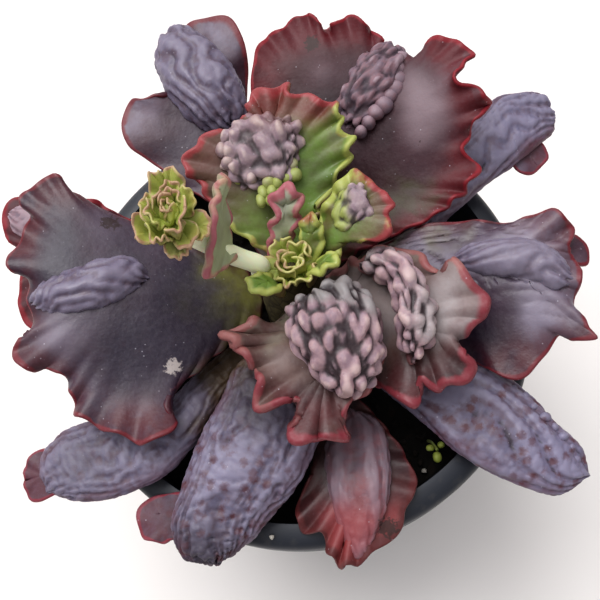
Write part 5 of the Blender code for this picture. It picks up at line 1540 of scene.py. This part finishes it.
def fine_pot():
    """Nursery pot: smooth rounded band, plain wall, drain holes in its base."""
    wall_top, foot = RIM_RADIUS - LIP_WIDTH, -RIM_HEIGHT
    lip = [(wall_top + LIP_WIDTH * math.sin(a), LIP_DROP * math.cos(a))
           for a in np.linspace(math.pi / 2, 0, LIP_STEPS)]
    chamfer_inset, chamfer_rise = SKIRT_CHAMFER
    inner_inset, inner_drop = INNER_TOP
    profile = [(0, foot), (BASE_RADIUS * 0.5, foot)]
    profile += arc((BASE_RADIUS - FOOT_ROUND, foot + FOOT_ROUND), FOOT_ROUND, -90, 0, 7)
    profile += [(wall_top + WALL, -SKIRT_DEPTH), (RIM_RADIUS - SKIRT_INSET, -SKIRT_DEPTH),
                (RIM_RADIUS - chamfer_inset, -SKIRT_DEPTH + chamfer_rise), *lip,
                (wall_top - inner_inset, LIP_DROP - inner_drop),
                (wall_top - INNER_LEAN, -SKIRT_DEPTH),
                (BASE_RADIUS - WALL, foot + 2 * WALL), (BASE_RADIUS - 2 * WALL, foot + WALL),
                (BASE_RADIUS * 0.5, foot + WALL), (0, foot + WALL)]
    body = turned("pot_fine", profile, POT_SEGMENTS)
    drills = bpy.data.collections.new("drills")
    bpy.context.scene.collection.children.link(drills)
    for k in range(DRAIN_HOLES):
        angle = 2 * math.pi * (k + 0.5) / DRAIN_HOLES
        drill = turned(f"drill_{k}", [(0, foot - 1), (DRAIN_RADIUS, foot - 1),
                                      (DRAIN_RADIUS, foot + WALL + 1), (0, foot + WALL + 1)],
                       HOLE_SIDES)
        drill.data.transform(Matrix.Translation((DRAIN_CIRCLE * MM * math.cos(angle),
                                                 DRAIN_CIRCLE * MM * math.sin(angle), 0)))
        drills.objects.link(drill)
    cut = body.modifiers.new("holes", "BOOLEAN")
    cut.operation, cut.operand_type, cut.collection = "DIFFERENCE", "COLLECTION", drills
    cut.solver = "EXACT"
    bpy.context.view_layer.update()
    seen = body.evaluated_get(bpy.context.evaluated_depsgraph_get())
    mesh = bpy.data.meshes.new_from_object(seen)
    body.modifiers.clear()
    body.data = mesh
    for drill in list(drills.objects):
        bpy.data.objects.remove(drill)
    bpy.data.collections.remove(drills)
    mesh.set_sharp_from_angle(angle=math.radians(SHARP_ANGLE))
    return body


def mound(share):
    """Height of the potting mix at this share of its radius."""
    return SOIL_LEVEL + SOIL_MOUND * (1 - share ** 2)


def crumbly(points):
    """The potting mix with a lumpy top."""
    top = points[:, 2] > SOIL_LEVEL - 0.5
    inner = np.linalg.norm(points[:, :2], axis=1) < SOIL_RADIUS - 1
    rough = sum(height * cloud(points, size, 301 + k) for k, (size, height) in enumerate(SOIL_LUMPS))
    points[:, 2] += np.where(top & inner, rough, 0)
    return points


def fine_soil():
    """Potting mix with an uneven crumbly top, and loose crumbs that lie on it."""
    under_gap, side_gap = SOIL_GAP
    foot = -RIM_HEIGHT + WALL + under_gap
    low_radius = BASE_RADIUS - 2 * WALL - side_gap
    hole, bottom = STEM_HOLE
    profile = [(0, foot), (low_radius, foot), (low_radius + SOIL_FOOT, foot + WALL)]
    profile += [(SOIL_RADIUS, SOIL_LEVEL)]
    shares = np.linspace(1, hole / SOIL_RADIUS, SOIL_RINGS)[1:]
    profile += [(SOIL_RADIUS * s, mound(s)) for s in shares]
    profile += [(hole, bottom), (0, bottom)]
    body = turned("soil_fine", profile, SOIL_SEGMENTS, shake=crumbly)
    rng = np.random.RandomState(303)
    parts = []
    for _ in range(CRUMBS):
        r = SOIL_RADIUS * math.sqrt(rng.uniform(0.03, 0.94))
        a = rng.uniform(0, 2 * math.pi)
        size = rng.uniform(*CRUMB_SIZES) * np.array([1, rng.uniform(0.5, 1), rng.uniform(0.4, 0.8)])
        height = mound(r / SOIL_RADIUS) + CRUMB_LIFT
        parts.append(crumb((r * math.cos(a), r * math.sin(a), height), size, rng))
    crumbs = merged(parts)
    return body, made_piece("soil_crumbs", crumbs[0], crumbs[1])


def ringed(points):
    """The stem with the scars of shed leaves, which wind up it, and a rough bark."""
    angle = np.arctan2(points[:, 1], points[:, 0])
    rings = np.sin(2 * np.pi * (points[:, 2] / SCAR_SPACING + angle / np.pi))
    push = 0.25 * np.minimum(rings, 0.3) + 0.25 * cloud(points, 3, 311) - 0.3
    radius = np.linalg.norm(points[:, :2], axis=1)
    grow = np.where(radius > 1, 1 + push / np.maximum(radius, 1), 1)
    points[:, :2] *= grow[:, None]
    return points


def fine_stem():
    """Short corky stem, ringed with the scars of old leaves."""
    foot, top = STEM_PROFILE[0][0], STEM_PROFILE[-1][0]
    levels = np.linspace(foot, top, STEM_RINGS)
    profile = [(0, foot), *[(stem_radius(h), h) for h in levels], (0, top + 1)]
    return turned("stem_fine", profile, STEM_SEGMENTS, shake=ringed)


def tube(route, radius, sides, rings, seed):
    """Round stalk along a route: points and faces."""
    centres = curve_through(route)(np.linspace(0, 1, rings))
    ahead = np.gradient(centres, axis=0)
    ahead /= np.linalg.norm(ahead, axis=1)[:, None]
    across = np.cross(ahead, (0, 1, 0))
    across /= np.linalg.norm(across, axis=1)[:, None]
    other = np.cross(ahead, across)
    phi = 2 * np.pi * np.arange(sides) / sides
    ring = np.cos(phi)[None, :, None] * across[:, None] + np.sin(phi)[None, :, None] * other[:, None]
    flat = (centres[:, None] + radius * ring).reshape(-1, 3)
    swell = 1 + 0.06 * cloud(flat, 5, seed).reshape(rings, sides)
    body = centres[:, None] + radius * ring * swell[..., None]
    points = np.vstack([body.reshape(-1, 3), centres[0], centres[-1]])
    return points, capped(ring_quads(rings, sides), rings, sides)


def bract(centre, azimuth, rise, length, seed, rng):
    """Small ruffled leaf that points out and up from the centre of a head or a tuft."""
    a, b = math.radians(azimuth), math.radians(rise)
    out = np.array([math.cos(a) * math.cos(b), math.sin(a) * math.cos(b), math.sin(b)])
    side = np.array([-math.sin(a), math.cos(a), 0])
    up = np.cross(out, side)
    grid = length * np.array([out, side * rng.uniform(0.9, 1.35), up * rng.uniform(0.6, 2.4)])
    margin = [centre + np.array(p) @ grid for p in BRACT_MARGIN]
    midrib = [centre + np.array(p) @ grid for p in BRACT_MIDRIB]
    finish = {**USUAL_FINISH, "ruffle": (rng.uniform(3.2, 5.4), rng.uniform(1.0, 2.0)), "bead": -0.15}
    points, faces, looks = fine_blade(margin, midrib, BRACT_THICK, BRACT_THICK, finish, seed,
                                      STEP * HEAD_STEP)
    looks["ripe"] = np.clip(np.linalg.norm(points - centre, axis=1) / length - 0.1, 0, 1)
    return points, faces, looks


def whorls(centre, rows, first_seed):
    """Small leaves in rings, each ring given as in HEAD_WHORLS."""
    rng = np.random.RandomState(first_seed)
    parts = []
    for count, length, rise, start_angle in rows:
        for k in range(count):
            azimuth = start_angle + 360 * (k + rng.uniform(-0.2, 0.2)) / count
            parts.append(bract(np.array(centre), azimuth, rise + rng.uniform(-10, 10),
                               length * rng.uniform(0.82, 1.08), first_seed + 1 + len(parts), rng))
    return parts


def plain_looks(looks, flush, dark):
    """Adds what a leaf of the rosette has and a small one hasn't."""
    count = len(looks["crest"])
    looks.update(flush=np.full(count, flush), dark=np.full(count, dark))
    for key in ("wax_and_painted_light", "blush", "brown_scar", "pale_scar", "marks"):
        looks[key] = np.zeros(count)
    return looks


def fine_stalk():
    """Plain round flower stalk."""
    start = root_points(STALK_ROOT, STALK_RADIUS, STALK_ROUTE[0])[0]
    points, faces = tube([start, *STALK_ROUTE], STALK_RADIUS, *STALK_MESH, 401)
    return made_piece("flower_stalk_fine", points, faces)


def fine_head():
    """Closed leafy head of the stalk: whorls of ruffled bracts round a crown of buds."""
    rng = np.random.RandomState(402)
    parts = whorls(HEAD_CENTRE, HEAD_WHORLS, 410)
    x, y, z = HEAD_CENTRE
    for k in range(BUDS):
        angle, out = BUD_TURN * k, BUD_SPREAD * math.sqrt(k)
        place = (x + out * math.cos(angle), y + out * math.sin(angle), z + BUD_RISE - BUD_FALL * k)
        parts.append(berry(place, BUD_RADIUS, BUD_RED, rng))
    points, faces, looks = merged(parts)
    points[:, 0] = x + HEAD_NARROW * (points[:, 0] - x)
    return made_piece("flower_head_fine", points, faces, plain_looks(looks, 0.1, 0.1))


def fine_clasp():
    """Thin bract that clasps the stalk below its head."""
    points, faces, looks = fine_blade(CLASPING_BRACT["margin"], CLASPING_BRACT["midrib"],
                                      CLASP_THICK, CLASP_THICK, CLASP_FINISH, 460,
                                      STEP * CLASP_STEP)
    looks["ripe"] = np.full(len(points), 0.2)
    return made_piece("clasping_bract_fine", points, faces, plain_looks(looks, 0.0, 0.0))


def fine_tuft():
    """Unopened leaves on the growing point."""
    points, faces, looks = merged(whorls(TUFT_CENTRE, TUFT_WHORLS, 480))
    looks["ripe"] *= TUFT_RED
    return made_piece("heart_tuft", points, faces, plain_looks(looks, 0.0, 0.0))


def fine_sprout():
    """Seedling that has come up in the potting mix: a thin stalk and three small round leaves."""
    points, faces = tube(SPROUT_ROUTE, SPROUT_RADIUS, *SPROUT_MESH, 490)
    looks = {key: np.zeros(len(points)) for key in ("rim", "under", "wart", "ripe")}
    looks["crest"] = np.ones(len(points))
    rng = np.random.RandomState(491)
    leaves = [berry(place, radius, 0.0, rng) for place, radius in SPROUT_LEAVES]
    points, faces, looks = merged([(points, faces, looks), *leaves])
    return made_piece("soil_sprout", points, faces, plain_looks(looks, 0.0, 0.0))


def fine_perlite():
    """The few white grains that show among the potting mix and on the leaves' roots."""
    rng = np.random.RandomState(492)
    grains = merged([crumb(place, np.full(3, size), rng) for place, size in PERLITE])
    return made_piece("perlite_grains", grains[0], grains[1])


def photo_camera():
    """The photograph's view, fitted to the rim of the pot: high above the front."""
    elevation, roll = math.radians(VIEW_HEIGHT), math.radians(VIEW_ROLL)
    back = Vector((0, -math.cos(elevation), math.sin(elevation)))
    right = Vector((1, 0, 0))
    up = back.cross(right)
    across = right * math.cos(roll) + up * math.sin(roll)
    upward = -right * math.sin(roll) + up * math.cos(roll)
    lens = bpy.data.cameras.new("photo_view")
    lens.lens, lens.sensor_width, lens.clip_start = LENS, FILM_WIDTH, 0.01
    camera = bpy.data.objects.new("photo_view", lens)
    bpy.context.collection.objects.link(camera)
    pose = Matrix((across, upward, back)).transposed().to_4x4()
    pose.translation = (Vector((*VIEW_AIM, RIM_HEIGHT)) + back * VIEW_DISTANCE) * MM
    camera.matrix_world = pose
    bpy.context.scene.camera = camera


def toward(azimuth, height):
    """Direction to a place in the sky, which is given in degrees."""
    a, b = math.radians(azimuth), math.radians(height)
    return Vector((math.cos(a) * math.cos(b), math.sin(a) * math.cos(b), math.sin(b)))


def soft_sky():
    """Sky all round, brightest on the window's side."""
    world = bpy.data.worlds.new("soft_sky")
    world.use_nodes = True
    bpy.context.scene.world = world
    tree = world.node_tree
    way = node(tree, "TexCoord").outputs["Generated"]
    facing = node(tree, "VectorMath", {0: way, 1: toward(*SKY_BRIGHTEST)}, operation="DOT_PRODUCT")
    strength = node(tree, "MapRange",
                    {0: facing.outputs["Value"], 1: SKY_FADE[0], 2: SKY_FADE[1], 3: SKY_DIM,
                     4: SKY_BRIGHT}, interpolation_type="SMOOTHSTEP")
    background = tree.nodes["Background"]
    background.inputs["Color"].default_value = hue(SKY_COLOUR)
    tree.links.new(strength.outputs[0], background.inputs["Strength"])


def broad_lamps():
    """Lamps so broad that their shadows are soft."""
    for name, azimuth, height, spread, strength in SOFT_LIGHTS:
        light = bpy.data.lights.new(name, "SUN")
        light.angle, light.energy = math.radians(spread), strength
        lamp = bpy.data.objects.new(name, light)
        bpy.context.collection.objects.link(lamp)
        lamp.rotation_euler = toward(azimuth, height).to_track_quat("Z", "Y").to_euler()


def pale_board():
    """Painted board: matt and almost white, with the faintest patches."""
    made, tree, place = blank("floor_pale_matt_board")
    cloudy = node(tree, "TexNoise", {"Vector": place, "Scale": per_size(FLOOR_PATCH), "Detail": 2.0})
    shade = node(tree, "Mix", {0: cloudy.outputs["Fac"], 6: hue("#e9e3de"), 7: hue("#efebe8")},
                 data_type="RGBA").outputs[2]
    board = node(tree, "BsdfPrincipled", {"Base Color": shade, "Roughness": 0.7})
    node(tree, "OutputMaterial", {"Surface": board.outputs[0]})
    return made


def studio():
    """Soft sky, two broad lamps and a plain pale floor."""
    settings = bpy.context.scene.view_settings
    settings.view_transform = "Standard"
    settings.look = "Medium High Contrast"
    soft_sky()
    broad_lamps()
    mesh = bpy.data.meshes.new("floor")
    corners = [(-1, -1), (1, -1), (1, 1), (-1, 1)]
    mesh.from_pydata([(x * FLOOR_HALF, y * FLOOR_HALF, 0) for x, y in corners], [], [(0, 1, 2, 3)])
    mesh.materials.append(pale_board())
    floor = bpy.data.objects.new("floor", mesh)
    bpy.context.collection.objects.link(floor)


def dressed(piece, finish, slot, *nodes):
    """Gives a piece its material and hides the nodes that it stands for; its slot is not used."""
    piece.data.materials.clear()
    piece.data.materials.append(finish)
    if nodes:
        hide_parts(*nodes)
    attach(piece, "root")


def dress():
    """Camera, light and every piece of the part."""
    photo_camera()
    studio()
    skins = {key: leaf_skin(SKIN_NAMES[key], TONES[key]) for key in TONES}
    for first_seed, names in ((0, BLADES), (50, TONGUES)):
        for seed, name in enumerate(names, first_seed):
            look = FINISH[name]["skin"]
            dressed(leaf(name, seed), skins[look], LEAF_SLOTS.get(look, "leaf_purple"), name)
    dressed(fine_pot(), moulded_plastic(), "pot_plastic", "pot")
    mix = damp_mix()
    soil, crumbs = fine_soil()
    dressed(soil, mix, "potting_mix", "soil")
    dressed(crumbs, mix, "potting_mix")
    dressed(fine_stem(), old_bark(), "stem_bark", "stem")
    dressed(fine_stalk(), stalk_skin(), "stalk_green", "flower_stalk")
    dressed(fine_head(), skins["bract"], "leaf_green")
    dressed(fine_clasp(), skins["clasp"], "leaf_green")
    dressed(fine_tuft(), skins["bract"], "leaf_green")
    dressed(fine_sprout(), skins["bract"], "leaf_green")
    dressed(fine_perlite(), perlite(), "potting_mix")


dress()
